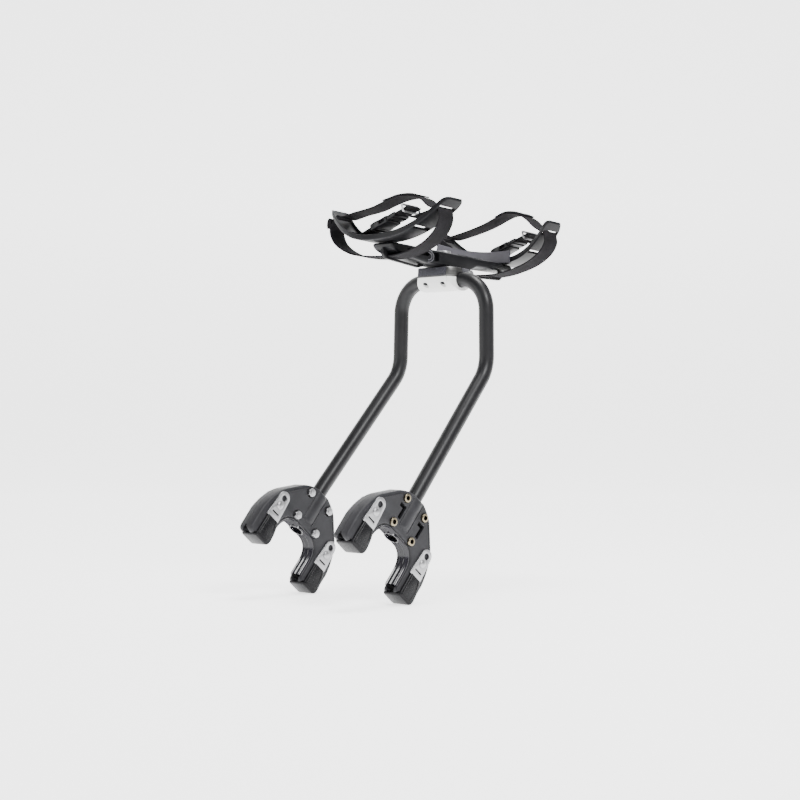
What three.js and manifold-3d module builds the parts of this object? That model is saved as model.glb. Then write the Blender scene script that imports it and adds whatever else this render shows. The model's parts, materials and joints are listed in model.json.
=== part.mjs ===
// A bar-mounted ski carrier. A bent tube frame ends in two claws that grip a round bar,
// and its top bar holds a tilting, swivelling head with a cradle of two strapped arms.
// Millimetres, +Z up. X runs along the gripped bar, -Y is the front, and the origin is
// the middle of the gripped bar, halfway between the claws.
import * as THREE from 'three';
import { mergeVertices } from 'three/addons/utils/BufferGeometryUtils.js';
import Module from 'manifold-3d';

const wasm = await Module();
wasm.setup();

// ---- driving dimensions ----
const GAP = 0.3;
const TUBE_RADIUS = 9.5;
const TUBE_WALL = 1.8;
const LEAN = THREE.MathUtils.degToRad(40.5);
const CLAW_X = 83.4;
const ELBOW = new THREE.Vector3(75.6, 193.7, 221.7);
const TOP_CORNER = new THREE.Vector3(73.5, 195, 334.6);
const ELBOW_RADIUS = 48;
const TOP_RADIUS = 40;

const PLATE_HALF = 11.5;
const RIDGE_RADIUS = 14;
const BOLT_RISE = 57;
const BOLT_SPREAD = 19;
const BOLT_PITCH = 17.4;
const BOLT_RADIUS = 3;
const BOLT_HEAD_RADIUS = 5;
const SEAT_FACE = 9.5;
const THROAT_BASE = 31;
const THROAT_HALF = 33;
const LINER_THICK = 3;
const TIP = -19.5;
const TIP_UNDER_BOOT = -15.5;
const BOOT_END = -20;
const BOOT_TOP = 13;
const BOOT_HALF = 15;
const BOOT_REAR = -8.5;
const BOOT_ROOM = 1.2;
const BOOT_SWING = 2.2;
const LINK_OFFSET = 50;
const LINK_RADIUS = 8.5;
const LINK_THICK = 2.2;
const LINK_HOLE = 41;
const RIVET_RISE = 30;
const RIVET_RADIUS = 2.6;
const RIVET_HEAD_RADIUS = 4.6;

const TILT = THREE.MathUtils.degToRad(4.5);
const HEAD_TOP = 15.2;
const HEAD_SPLIT = 3.4;
const HEAD_BOTTOM = -13;
const HEAD_FRONT = -21.5;
const HEAD_REAR = 27;
const HEAD_FACE = 23.7;
const HEAD_SIDE = 32;
const POST_RADIUS = 7;

const KEEL_BOTTOM = 16;
const KEEL_TOP = 34;
const KEEL_HALF_LENGTH = 112;
const KEEL_HALF_WIDTH = 17;
const PAD_HALF = 12;
const PAD_START = 14;
const PAD_END = 60;
const PAD_RISE = 1.2;
const PLATE_BOTTOM = 34.3;
const ARM_SPAN = 102;
const ARM_RISE = 45.7;
const ARM_OFFSET = 92;
const ARM_BULGE = 21;
const ARM_HALF_WIDTH = 16;
const RIM = 2.5;
const RIM_HEIGHT = 7;
const FLOOR = 3;
const WALL_LEFT = -90;
const WALL_RIGHT = 27;
const SLOT_OUT = [87.5, 94];
const SLOT_IN = [58, 64];
const WEB_WIDTH = 25;
const WEB_THICK = 1.8;
const CHAIN_ANGLE = THREE.MathUtils.degToRad(20);

// ---- looks ----
const LOOKS = {
  tube: { color: 0x2b2b2e, roughness: 0.4, metalness: 0.6 },
  shell: { color: 0x46464a, roughness: 0.6, metalness: 0 },
  liner: { color: 0x17171b, roughness: 0.3, metalness: 0 },
  boot: { color: 0x141416, roughness: 0.35, metalness: 0 },
  steel: { color: 0xb9b9bc, roughness: 0.3, metalness: 1 },
  zinc: { color: 0xb8a98a, roughness: 0.35, metalness: 1 },
  white: { color: 0xe6e6e6, roughness: 0.5, metalness: 0 },
  alloy: { color: 0x8f8f88, roughness: 0.35, metalness: 1 },
  badge: { color: 0x4a4a54, roughness: 0.6, metalness: 0 },
  jaw: { color: 0x5b5b62, roughness: 0.5, metalness: 0 },
  cradle: { color: 0x1d1d1f, roughness: 0.5, metalness: 0 },
  wall: { color: 0x73717a, roughness: 0.5, metalness: 0 },
  webbing: { color: 0x323032, roughness: 0.9, metalness: 0 },
  buckle: { color: 0x121214, roughness: 0.4, metalness: 0 },
};

const assembly = new THREE.Group();

function addMesh(parent, name, geometry, look) {
  const mesh = new THREE.Mesh(geometry, new THREE.MeshStandardMaterial(LOOKS[look]));
  mesh.name = name;
  parent.add(mesh);
  return mesh;
}

// ---- solids ----
function solid(geometry) {
  const bare = geometry.clone();
  bare.deleteAttribute('normal');
  bare.deleteAttribute('uv');
  const merged = mergeVertices(bare, 1e-4);
  return new wasm.Manifold(new wasm.Mesh({
    numProp: 3,
    vertProperties: new Float32Array(merged.attributes.position.array),
    triVerts: new Uint32Array(merged.index.array),
  }));
}

function geometryOf(manifold) {
  const mesh = manifold.getMesh();
  const geometry = new THREE.BufferGeometry();
  geometry.setAttribute('position', new THREE.BufferAttribute(mesh.vertProperties, 3));
  geometry.setIndex(new THREE.BufferAttribute(mesh.triVerts, 1));
  geometry.computeVertexNormals();
  return geometry;
}

function box(x0, x1, y0, y1, z0, z1) {
  const geometry = new THREE.BoxGeometry(Math.abs(x1 - x0), y1 - y0, Math.abs(z1 - z0));
  return geometry.translate((x0 + x1) / 2, (y0 + y1) / 2, (z0 + z1) / 2);
}

// A cylinder along Z between two heights.
function rodZ(radius, z0, z1, sides = 16) {
  const geometry = new THREE.CylinderGeometry(radius, radius, Math.abs(z1 - z0), sides);
  return geometry.rotateX(Math.PI / 2).translate(0, 0, (z0 + z1) / 2);
}

function rodY(radius, y0, y1, sides = 16) {
  const geometry = new THREE.CylinderGeometry(radius, radius, y1 - y0, sides);
  return geometry.translate(0, (y0 + y1) / 2, 0);
}

function rodX(radius, x0, x1, sides = 16) {
  return rodZ(radius, x0, x1, sides).rotateY(Math.PI / 2);
}

function prismZ(shape, z0, z1, curveSegments = 4) {
  const options = { depth: z1 - z0, bevelEnabled: false, curveSegments };
  return new THREE.ExtrudeGeometry(shape, options).translate(0, 0, z0);
}

// Joins rings of equally many points into one closed body; the rings share one outline.
function loft(rings, outline) {
  const positions = [];
  const indices = [];
  const count = rings[0].length;
  rings.forEach((ring) => ring.forEach((point) => positions.push(point.x, point.y, point.z)));
  for (let row = 0; row < rings.length - 1; row += 1) {
    for (let i = 0; i < count; i += 1) {
      const a = row * count + i;
      const b = row * count + ((i + 1) % count);
      indices.push(a, b, b + count);
      indices.push(a, b + count, a + count);
    }
  }
  const last = (rings.length - 1) * count;
  const reversed = THREE.ShapeUtils.isClockWise(outline);
  THREE.ShapeUtils.triangulateShape(outline, []).forEach((triangle) => {
    const [a, b, c] = reversed ? [...triangle].reverse() : triangle;
    indices.push(c, b, a);
    indices.push(last + a, last + b, last + c);
  });
  const geometry = new THREE.BufferGeometry();
  geometry.setAttribute('position', new THREE.Float32BufferAttribute(positions, 3));
  geometry.setIndex(indices);
  return facedOut(geometry);
}

// Turns every face over when the body's signed volume says that they point inwards.
function facedOut(geometry) {
  const position = geometry.attributes.position;
  const index = geometry.index.array;
  const corner = [new THREE.Vector3(), new THREE.Vector3(), new THREE.Vector3()];
  let volume = 0;
  for (let i = 0; i < index.length; i += 3) {
    corner.forEach((point, k) => point.fromBufferAttribute(position, index[i + k]));
    volume += corner[0].dot(corner[1].cross(corner[2]));
  }
  if (volume < 0) {
    for (let i = 0; i < index.length; i += 3) {
      [index[i], index[i + 1]] = [index[i + 1], index[i]];
    }
  }
  geometry.computeVertexNormals();
  return geometry;
}

// The other hand of a claw piece: z changes sign.
function mirrored(geometry) {
  const flipped = mergeVertices(geometry.clone().scale(1, 1, -1));
  return facedOut(flipped);
}

function forSide(geometry, side) {
  return side > 0 ? geometry : mirrored(geometry);
}

// ---- frame tube ----
// Straight stretches joined by round bends, stepped by stretch rather than by length.
class BentPath extends THREE.Curve {
  constructor(points, radii, bendSteps) {
    super();
    this.samples = [points[0].clone()];
    for (let i = 1; i < points.length - 1; i += 1) {
      this.addBend(points[i - 1], points[i], points[i + 1], radii[i - 1], bendSteps[i - 1]);
    }
    this.samples.push(points[points.length - 1].clone());
  }

  addBend(before, corner, after, radius, steps) {
    const inward = corner.clone().sub(before).normalize();
    const outward = after.clone().sub(corner).normalize();
    const angle = inward.angleTo(outward);
    const start = corner.clone().addScaledVector(inward, -radius * Math.tan(angle / 2));
    const toCentre = outward.clone().sub(inward).normalize();
    const centre = corner.clone().addScaledVector(toCentre, radius / Math.cos(angle / 2));
    const axis = inward.clone().cross(outward).normalize();
    for (let k = 0; k <= steps; k += 1) {
      const arm = start.clone().sub(centre).applyAxisAngle(axis, (angle * k) / steps);
      this.samples.push(centre.clone().add(arm));
    }
  }

  get steps() {
    return this.samples.length - 1;
  }

  getUtoTmapping(u) {
    return u;
  }

  getPoint(t) {
    const place = Math.min(Math.max(t, 0), 1) * this.steps;
    const index = Math.min(Math.floor(place), this.steps - 1);
    return this.samples[index].clone().lerp(this.samples[index + 1], place - index);
  }

  getTangent(t) {
    const index = Math.round(t * this.steps);
    const before = this.samples[Math.max(index - 1, 0)];
    const after = this.samples[Math.min(index + 1, this.steps)];
    const here = this.samples[index];
    const inward = index > 0 ? here.clone().sub(before).normalize() : new THREE.Vector3();
    const outward = index < this.steps ? after.clone().sub(here).normalize() : new THREE.Vector3();
    return inward.add(outward).normalize();
  }
}

function ringShape(outer, inner, outerSides, innerSides) {
  const circle = (radius, sides) => Array.from({ length: sides }, (_, i) => {
    const angle = (2 * Math.PI * i) / sides;
    return new THREE.Vector2(radius * Math.cos(angle), radius * Math.sin(angle));
  });
  const shape = new THREE.Shape(circle(outer, outerSides));
  shape.holes.push(new THREE.Path(circle(inner, innerSides)));
  return shape;
}

function clawPoint(side, rise) {
  return new THREE.Vector3(side * CLAW_X, rise * Math.sin(LEAN), rise * Math.cos(LEAN));
}

function makeTube() {
  const mirroredPoint = (point) => new THREE.Vector3(-point.x, point.y, point.z);
  const points = [
    clawPoint(-1, THROAT_BASE + 3),
    clawPoint(-1, 98),
    mirroredPoint(ELBOW),
    mirroredPoint(TOP_CORNER),
    TOP_CORNER,
    ELBOW,
    clawPoint(1, 98),
    clawPoint(1, THROAT_BASE + 3),
  ];
  const radii = [60, ELBOW_RADIUS, TOP_RADIUS, TOP_RADIUS, ELBOW_RADIUS, 60];
  const path = new BentPath(points, radii, [1, 4, 7, 7, 4, 1]);
  const shape = ringShape(TUBE_RADIUS, TUBE_RADIUS - TUBE_WALL, 20, 8);
  const options = { steps: path.steps, extrudePath: path };
  addMesh(assembly, 'frame_tube', new THREE.ExtrudeGeometry(shape, options), 'tube');
}

// ---- claws ----
// Claw axes: x across the throat (rear side positive), y up along the tube from the
// middle of the gripped bar, z through the thickness, outwards on the right-hand claw.
function halfOutline(grow) {
  const throat = THROAT_HALF + grow;
  const base = THROAT_BASE + grow;
  const right = new THREE.Path();
  right.moveTo(0, 87);
  right.lineTo(10, 87);
  right.quadraticCurveTo(22, 83.5, 31.4, 76.8);
  right.lineTo(52.7, 54.4);
  right.quadraticCurveTo(66, 38, 69, 12);
  right.lineTo(68.5, TIP + 7);
  right.quadraticCurveTo(68, TIP, 62, TIP);
  right.lineTo(throat + 6, TIP);
  right.quadraticCurveTo(throat, TIP, throat, TIP + 7);
  right.lineTo(throat, 8);
  right.quadraticCurveTo(throat - 1, base - 1, 13, base);
  right.lineTo(0, base);
  return right.getPoints(3);
}

function symmetricShape(half) {
  const other = half.slice(1, -1).reverse().map((point) => new THREE.Vector2(-point.x, point.y));
  return new THREE.Shape([...half, ...other]);
}

function clawBody() {
  const bevel = 3;
  const shape = symmetricShape(halfOutline(LINER_THICK + GAP));
  const geometry = new THREE.ExtrudeGeometry(shape, {
    depth: 2 * (PLATE_HALF - bevel),
    bevelThickness: bevel,
    bevelSize: bevel,
    bevelOffset: -bevel,
    bevelSegments: 1,
  }).translate(0, 0, bevel - PLATE_HALF);
  const ridge = rodY(RIDGE_RADIUS, THROAT_BASE + 10, 86, 18);
  return solid(geometry).add(solid(ridge));
}

function boltPlaces() {
  const places = [];
  [-1, 1].forEach((across) => [-1, 1].forEach((up) => {
    places.push([across * BOLT_SPREAD, BOLT_RISE + up * BOLT_PITCH]);
  }));
  return places;
}

// A bent slot beside the ridge: a short leg across and a long leg down.
function bentSlot(left) {
  const width = 2.8;
  const top = BOLT_RISE + 9;
  const slot = new THREE.Shape();
  slot.moveTo(left, top);
  slot.lineTo(left + 10, top);
  slot.lineTo(left + 10, top - 17);
  slot.lineTo(left + 10 - width, top - 17);
  slot.lineTo(left + 10 - width, top - width);
  slot.lineTo(left, top - width);
  return prismZ(slot, PLATE_HALF - 3, PLATE_HALF + 5);
}

function clawShell(isOuter) {
  const z0 = isOuter ? GAP / 2 : -20;
  const z1 = isOuter ? 20 : -GAP / 2;
  let body = clawBody().intersect(solid(box(-90, 90, -60, 120, z0, z1)));
  body = body.subtract(solid(rodY(TUBE_RADIUS + 2 * GAP, THROAT_BASE, 100, 20)));
  boltPlaces().forEach(([x, y]) => {
    const hole = rodZ(BOLT_RADIUS + GAP, -30, 30, 8).translate(x, y, 0);
    const face = isOuter ? rodZ(BOLT_HEAD_RADIUS + 0.5, SEAT_FACE, 30, 12)
      : rodZ(BOLT_HEAD_RADIUS + 1, -30, -SEAT_FACE, 12);
    body = body.subtract(solid(hole)).subtract(solid(face.translate(x, y, 0)));
  });
  if (isOuter) {
    body = body.subtract(solid(bentSlot(-23))).subtract(solid(bentSlot(15)));
  }
  [-1, 1].forEach((across) => {
    const pin = rodZ(RIVET_RADIUS + GAP, -30, 30, 10);
    pin.translate(across * LINK_OFFSET, RIVET_RISE, 0);
    const bootEdge = across * LINK_OFFSET + BOOT_REAR - BOOT_SWING;
    const hollow = rodY(5.5, TIP - 10, TIP + 12, 10).translate(bootEdge - 1, 0, 0);
    const step = box(bootEdge, bootEdge + 40, TIP - 10, TIP_UNDER_BOOT, -30, 30);
    body = body.subtract(solid(pin)).subtract(solid(hollow)).subtract(solid(step));
  });
  return geometryOf(body);
}

function linerGeometry() {
  const strip = (inner, z0, z1) => {
    const outer = halfOutline(LINER_THICK).slice();
    const startOuter = outer.findIndex((point) => point.y === 8);
    const back = outer.slice(startOuter);
    const throat = halfOutline(inner);
    const front = throat.slice(throat.findIndex((point) => point.y === 8)).reverse();
    const foot = new THREE.Vector2(back[0].x, TIP + 7);
    const toe = new THREE.Vector2(front[front.length - 1].x, TIP + 7);
    return solid(prismZ(symmetricShape([...front, toe, foot, ...back]), z0, z1));
  };
  let liner = strip(1.2, -9.5, 9.5);
  [-8, 0, 8].forEach((middle) => {
    liner = liner.add(strip(-0.4, middle - 1.4, middle + 1.4));
  });
  const bore = rodY(TUBE_RADIUS - 1.5, THROAT_BASE - 10, THROAT_BASE + 20, 20);
  return geometryOf(liner.subtract(solid(bore)));
}

// A socket head bolt with its hex nut run up tight on the inner face.
function boltGeometry() {
  const head = solid(rodZ(BOLT_HEAD_RADIUS, SEAT_FACE + GAP, SEAT_FACE + 4.4, 12));
  const socket = solid(rodZ(2.6, SEAT_FACE + 2, SEAT_FACE + 9, 6));
  const shank = solid(rodZ(BOLT_RADIUS, -SEAT_FACE - 6.5, SEAT_FACE + 1, 8));
  const nut = solid(rodZ(BOLT_HEAD_RADIUS, -SEAT_FACE - 5, -SEAT_FACE - GAP, 6));
  return geometryOf(head.subtract(socket).add(shank).add(nut));
}

function linkGeometry(z0) {
  const top = LINK_HOLE;
  const foot = BOOT_TOP + GAP;
  const link = new THREE.Shape();
  link.moveTo(-10.5, foot);
  link.lineTo(10.5, foot);
  link.lineTo(LINK_RADIUS, top);
  link.absarc(0, top, LINK_RADIUS, 0, Math.PI, false);
  const hole = new THREE.Path().absarc(0, LINK_HOLE, 4, 0, 2 * Math.PI, true);
  const pin = new THREE.Path().absarc(0, RIVET_RISE, RIVET_RADIUS + GAP, 0, 2 * Math.PI, true);
  const slit = new THREE.Path();
  slit.moveTo(-6, 18);
  slit.lineTo(-6, 20);
  slit.lineTo(6, 20);
  slit.lineTo(6, 18);
  link.holes.push(hole, pin, slit);
  return prismZ(link, z0, z0 + LINK_THICK, 5);
}

function rivetGeometry() {
  const face = PLATE_HALF + 2 * GAP + LINK_THICK;
  const profile = [
    new THREE.Vector2(0, -face - 1.8),
    new THREE.Vector2(RIVET_HEAD_RADIUS - 1.2, -face - 1.5),
    new THREE.Vector2(RIVET_HEAD_RADIUS, -face),
    new THREE.Vector2(RIVET_RADIUS, -face),
    new THREE.Vector2(RIVET_RADIUS, face),
    new THREE.Vector2(RIVET_HEAD_RADIUS, face),
    new THREE.Vector2(RIVET_HEAD_RADIUS - 1.2, face + 1.5),
    new THREE.Vector2(0, face + 1.8),
  ];
  return new THREE.LatheGeometry(profile, 10).rotateX(Math.PI / 2);
}

// A rubber shoe round an arm's tip: two cheeks outside the shells, joined under the tip.
function bootGeometry() {
  const outline = new THREE.Shape();
  outline.moveTo(BOOT_REAR, BOOT_TOP);
  outline.lineTo(10, BOOT_TOP);
  outline.quadraticCurveTo(16, 6, 17, -12);
  outline.lineTo(12, BOOT_END);
  outline.lineTo(BOOT_REAR, BOOT_END);
  const outer = solid(prismZ(outline, -BOOT_HALF, BOOT_HALF));
  const inner = PLATE_HALF + GAP;
  const room = solid(box(-30, 30, TIP_UNDER_BOOT - BOOT_ROOM, 40, -inner, inner));
  return geometryOf(outer.subtract(room));
}

function makeClaw(side, word) {
  const claw = new THREE.Group();
  const across = new THREE.Vector3(0, Math.cos(LEAN), -Math.sin(LEAN));
  const up = new THREE.Vector3(0, Math.sin(LEAN), Math.cos(LEAN));
  const basis = new THREE.Matrix4().makeBasis(across, up, new THREE.Vector3(1, 0, 0));
  claw.setRotationFromMatrix(basis);
  claw.position.set(side * CLAW_X, 0, 0);
  assembly.add(claw);
  addMesh(claw, `${word}_outer_shell`, forSide(clawShell(true), side), 'shell');
  addMesh(claw, `${word}_inner_shell`, forSide(clawShell(false), side), 'shell');
  addMesh(claw, `${word}_throat_liner`, linerGeometry(), 'liner');
  boltPlaces().forEach(([x, y], index) => {
    const name = `${word}_claw_bolt_${index + 1}`;
    const bolt = addMesh(claw, name, forSide(boltGeometry(), side), 'zinc');
    bolt.position.set(x, y, 0);
  });
  const seat = PLATE_HALF + GAP;
  [[-1, 'upper'], [1, 'lower']].forEach(([where, level]) => {
    const x = where * LINK_OFFSET;
    const outerLink = linkGeometry(side > 0 ? seat : -seat - LINK_THICK);
    const innerLink = linkGeometry(side > 0 ? -seat - LINK_THICK : seat);
    const boot = bootGeometry();
    addMesh(claw, `${word}_${level}_outer_link`, outerLink, 'steel').position.x = x;
    addMesh(claw, `${word}_${level}_inner_link`, innerLink, 'steel').position.x = x;
    const rivet = addMesh(claw, `${word}_${level}_rivet`, rivetGeometry(), 'steel');
    rivet.position.set(x, RIVET_RISE, 0);
    addMesh(claw, `${word}_${level}_boot`, boot, 'boot').position.x = x;
  });
}

// ---- head clamp ----
const head = new THREE.Group();
head.position.set(0, TOP_CORNER.y, TOP_CORNER.z);
head.rotation.x = -TILT;
assembly.add(head);

// The head's plan: a flat front, sides that swell out round the tube, a flat rear.
function headPlan() {
  const plan = new THREE.Shape();
  plan.moveTo(-HEAD_FACE, HEAD_FRONT);
  plan.lineTo(HEAD_FACE, HEAD_FRONT);
  plan.quadraticCurveTo(HEAD_SIDE - 3, HEAD_FRONT + 2, HEAD_SIDE, -9);
  plan.lineTo(HEAD_SIDE, 9);
  plan.lineTo(HEAD_FACE, HEAD_REAR);
  plan.lineTo(-HEAD_FACE, HEAD_REAR);
  plan.lineTo(-HEAD_SIDE, 9);
  plan.lineTo(-HEAD_SIDE, -9);
  plan.quadraticCurveTo(3 - HEAD_SIDE, HEAD_FRONT + 2, -HEAD_FACE, HEAD_FRONT);
  return plan;
}

const SHELL_SCREWS = [[-15, -15.5], [15, -15.5], [-15, 16.5], [15, 16.5]];
const JAW_BOLT_Y = 18;
const JAW_BOLT_Z = 9.8;

function makeHead() {
  const bore = solid(rodX(TUBE_RADIUS + 2 * GAP, -60, 60, 20));
  const block = solid(prismZ(headPlan(), HEAD_BOTTOM, HEAD_TOP));
  const belly = solid(rodX(24, -60, 60, 24).translate(0, 1, 10.5));
  let shell = block.intersect(solid(box(-60, 60, -60, 60, -30, HEAD_SPLIT - GAP))).intersect(belly);
  shell = shell.subtract(bore);
  const slab = solid(box(-60, 60, -60, 60, HEAD_SPLIT, 60));
  let upper = block.intersect(slab).subtract(bore);
  SHELL_SCREWS.forEach(([x, y]) => {
    shell = shell.subtract(solid(rodZ(2.3, -40, 40, 10).translate(x, y, 0)));
    shell = shell.subtract(solid(rodZ(4, -40, -4, 14).translate(x, y, 0)));
    upper = upper.subtract(solid(rodZ(2.3, 0, 11.5, 10).translate(x, y, 0)));
  });
  upper = upper.subtract(solid(rodZ(POST_RADIUS + GAP, 0, 60, 20)));
  upper = upper.subtract(solid(box(-20.5, 20.5, -40, HEAD_FRONT + 1.4, 4.6, 14)));
  const bolt = rodX(2.8, -60, 60, 12).translate(0, JAW_BOLT_Y, JAW_BOLT_Z);
  const seats = solid(rodX(5.4, 27.2, 60, 12)).add(solid(rodX(5.4, -60, -27.2, 12)))
    .translate([0, JAW_BOLT_Y, JAW_BOLT_Z]);
  upper = upper.subtract(seats);
  const front = upper.intersect(solid(box(-60, 60, -60, -GAP, -60, 60)));
  const rear = upper.intersect(solid(box(-60, 60, GAP, 60, -60, 60))).subtract(solid(bolt));
  addMesh(head, 'head_lower_shell', geometryOf(shell), 'white');
  addMesh(head, 'head_front_jaw', geometryOf(front), 'alloy');
  addMesh(head, 'head_rear_jaw', geometryOf(rear), 'jaw');
  addMesh(head, 'head_front_badge', box(-20.2, 20.2, HEAD_FRONT, HEAD_FRONT + 1.1, 4.9, 13.7), 'badge');
}

function shellScrew() {
  const cap = solid(rodZ(3.6, -6.5, -4.3, 14)).subtract(solid(rodZ(1.6, -9, -5.2, 6)));
  return geometryOf(cap.add(solid(rodZ(2, -5, 11, 10))));
}

function makeHeadFasteners() {
  SHELL_SCREWS.slice(0, 2).forEach(([x, y], index) => {
    addMesh(head, `head_screw_${index + 1}`, shellScrew(), 'steel').position.set(x, y, 0);
  });
  const reach = 27.5;
  const shank = solid(rodX(2.5, -reach - 5, reach + 1, 12));
  const cap = solid(rodX(4.4, reach + 0.6, reach + 4, 6));
  const nut = solid(rodX(4.4, -reach - 4, -reach - 0.6, 6));
  const bolt = addMesh(head, 'jaw_bolt', geometryOf(shank.add(cap).add(nut)), 'steel');
  bolt.position.set(0, JAW_BOLT_Y, JAW_BOLT_Z);
  const post = [
    new THREE.Vector2(0, 10.2),
    new THREE.Vector2(POST_RADIUS, 10.2),
    new THREE.Vector2(POST_RADIUS, KEEL_TOP - 9),
    new THREE.Vector2(0, KEEL_TOP - 9),
  ];
  addMesh(head, 'swivel_post', new THREE.LatheGeometry(post, 20).rotateX(Math.PI / 2), 'alloy');
}

// ---- cradle ----
const cradle = new THREE.Group();
head.add(cradle);

function armRise(x) {
  return PLATE_BOTTOM + ARM_RISE * Math.abs(x / ARM_SPAN) ** 2.4;
}

function armMiddle(x) {
  return ARM_OFFSET + ARM_BULGE * (1 - (x / ARM_SPAN) ** 2);
}

// Sweeps a section (offset from the arm's middle line, height over its underside) along X.
function sweepArm(section, x0, x1, steps, way) {
  const rings = [];
  for (let i = 0; i <= steps; i += 1) {
    const x = x0 + ((x1 - x0) * i) / steps;
    rings.push(section.map((point) => new THREE.Vector3(
      x,
      way * (armMiddle(x) + point.x),
      armRise(x) + point.y,
    )));
  }
  return loft(rings, section);
}

function armSection() {
  const half = ARM_HALF_WIDTH;
  return [[-half, 0], [half, 0], [half, RIM_HEIGHT], [half - RIM, RIM_HEIGHT], [half - RIM, FLOOR],
    [RIM - half, FLOOR], [RIM - half, RIM_HEIGHT], [-half, RIM_HEIGHT],
  ].map(([across, rise]) => new THREE.Vector2(across, rise));
}

function makeArm(way, word) {
  let arm = solid(sweepArm(armSection(), -ARM_SPAN, ARM_SPAN, 24, way));
  [-1, 1].forEach((end) => {
    [SLOT_OUT, SLOT_IN].forEach(([from, to]) => {
      const middle = way * armMiddle((from + to) / 2);
      arm = arm.subtract(solid(box(end * from, end * to, middle - 13.6, middle + 13.6, 30, 100)));
    });
  });
  addMesh(cradle, `${word}_arm`, geometryOf(arm), 'cradle');
}

// Heights of the side wall's edges: nearly level, and rising towards the left-hand tip.
function wallTop(x) {
  return 51 + 14 * (Math.max(0, -x) / 90) ** 2;
}

function wallFoot(x) {
  return 35 + 15 * (Math.max(0, -x) / 90) ** 2;
}

function makeRearWall() {
  const near = -ARM_HALF_WIDTH - GAP;
  const far = near - 2.6;
  const steps = 14;
  const rings = [];
  for (let i = 0; i <= steps; i += 1) {
    const x = WALL_LEFT + ((WALL_RIGHT - WALL_LEFT) * i) / steps;
    const corners = [[far, wallFoot(x)], [near, wallFoot(x)], [near, wallTop(x)], [far, wallTop(x)]];
    rings.push(corners.map(([y, z]) => new THREE.Vector3(x, armMiddle(x) + y, z)));
  }
  const outline = [[0, 0], [1, 0], [1, 1], [0, 1]].map(([y, z]) => new THREE.Vector2(y, z));
  addMesh(cradle, 'rear_side_wall', loft(rings, outline), 'wall');
}

// The keel is deep in front of the head and shallow behind it.
function keelBottom(y) {
  if (y > 30) {
    return THREE.MathUtils.mapLinear(Math.min(y, 44), 30, 44, KEEL_BOTTOM, KEEL_BOTTOM + 7);
  }
  return KEEL_BOTTOM + 6.5 * Math.max(0, (-y - 48) / (KEEL_HALF_LENGTH - 48));
}

function keelSection(y) {
  const half = KEEL_HALF_WIDTH - 3 * Math.abs(y / KEEL_HALF_LENGTH);
  const low = keelBottom(y);
  return [[-half + 5, low], [half - 5, low], [half, low + 5], [half, KEEL_TOP], [-half, KEEL_TOP],
    [-half, low + 5]].map(([x, z]) => new THREE.Vector2(x, z));
}

// A thin rail under each half of the keel; the webbing passes between the two.
function railSolid(way) {
  const side = [[40, 24], [40, 13.1], [48, 10.8], [105, 14.2], [111, 20], [111, 26], [104, 26],
    [104, 16.6], [96, 16.6], [48, 13], [44, 17], [44, 24]];
  const outline = side.map(([y, z]) => new THREE.Vector2(y, z));
  const rings = [-2.5, 2.5].map((x) => outline.map((p) => new THREE.Vector3(x, way * p.x, p.y)));
  return solid(loft(rings, outline));
}

function makeKeel() {
  const stations = [-112, -80, -48, 30, 44, 80, 112];
  const rings = stations.map((y) => keelSection(y).map((p) => new THREE.Vector3(p.x, y, p.y)));
  let keel = solid(loft(rings, keelSection(0)));
  [-1, 1].forEach((side) => {
    const pocket = solid(box(side * 3, side * 40, -100, -46, 24, 31));
    const end = solid(rodX(3.5, side > 0 ? 3 : -40, side > 0 ? 40 : -3, 16).translate(0, -46, 27.5));
    const second = solid(box(side * 9, side * 40, -38, -28, 21, 31));
    keel = keel.subtract(pocket.add(end)).subtract(second);
  });
  keel = keel.subtract(solid(rodZ(POST_RADIUS + GAP, 0, KEEL_TOP - 9 + GAP, 20)));
  keel = keel.subtract(solid(rodZ(3.4, 0, 60, 12)));
  keel = keel.subtract(solid(box(-20, 20, 93, 97.4, PLATE_BOTTOM - 3.4, 40)));
  const pad = solid(box(-PAD_HALF, PAD_HALF, PAD_START, PAD_END, KEEL_TOP - 1, KEEL_TOP + PAD_RISE));
  keel = keel.add(railSolid(-1)).add(railSolid(1)).add(pad);
  addMesh(cradle, 'keel', geometryOf(keel), 'cradle');
  const screw = solid(rodZ(8, KEEL_TOP + GAP, KEEL_TOP + 4, 20))
    .subtract(solid(rodZ(3, KEEL_TOP + 1.8, 60, 6)))
    .add(solid(rodZ(3, KEEL_TOP - 9 + GAP, KEEL_TOP + 1, 12)));
  addMesh(cradle, 'swivel_screw', geometryOf(screw), 'steel');
}

// ---- webbing ----
// A flat band: its width lies along Y, and its middle line runs through the points.
function band(points, steps, width = WEB_WIDTH, thick = WEB_THICK) {
  const curve = new THREE.CatmullRomCurve3(points, false, 'centripetal');
  const outline = [[-1, -1], [1, -1], [1, 1], [-1, 1]].map(([x, y]) => new THREE.Vector2(x, y));
  const rings = [];
  for (let i = 0; i <= steps; i += 1) {
    const middle = curve.getPointAt(i / steps);
    const along = curve.getTangentAt(i / steps);
    const normal = new THREE.Vector3(-along.z, 0, along.x).normalize();
    rings.push(outline.map((corner) => middle.clone()
      .addScaledVector(normal, (corner.y * thick) / 2)
      .add(new THREE.Vector3(0, (corner.x * width) / 2, 0))));
  }
  return loft(rings, outline);
}

// The webbing's line in plan: through the slots at both tips, nearer the keel between them.
const STRAP_Y = 97;
const UNDER_Y = 90.5;
const CHAIN_Y = 111;

function route(places, way, middle = STRAP_Y) {
  const tip = 90;
  return places.map(([x, z]) => {
    const y = middle + (STRAP_Y - middle) * (x / tip) ** 2;
    return new THREE.Vector3(x, way * y, z);
  });
}

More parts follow.
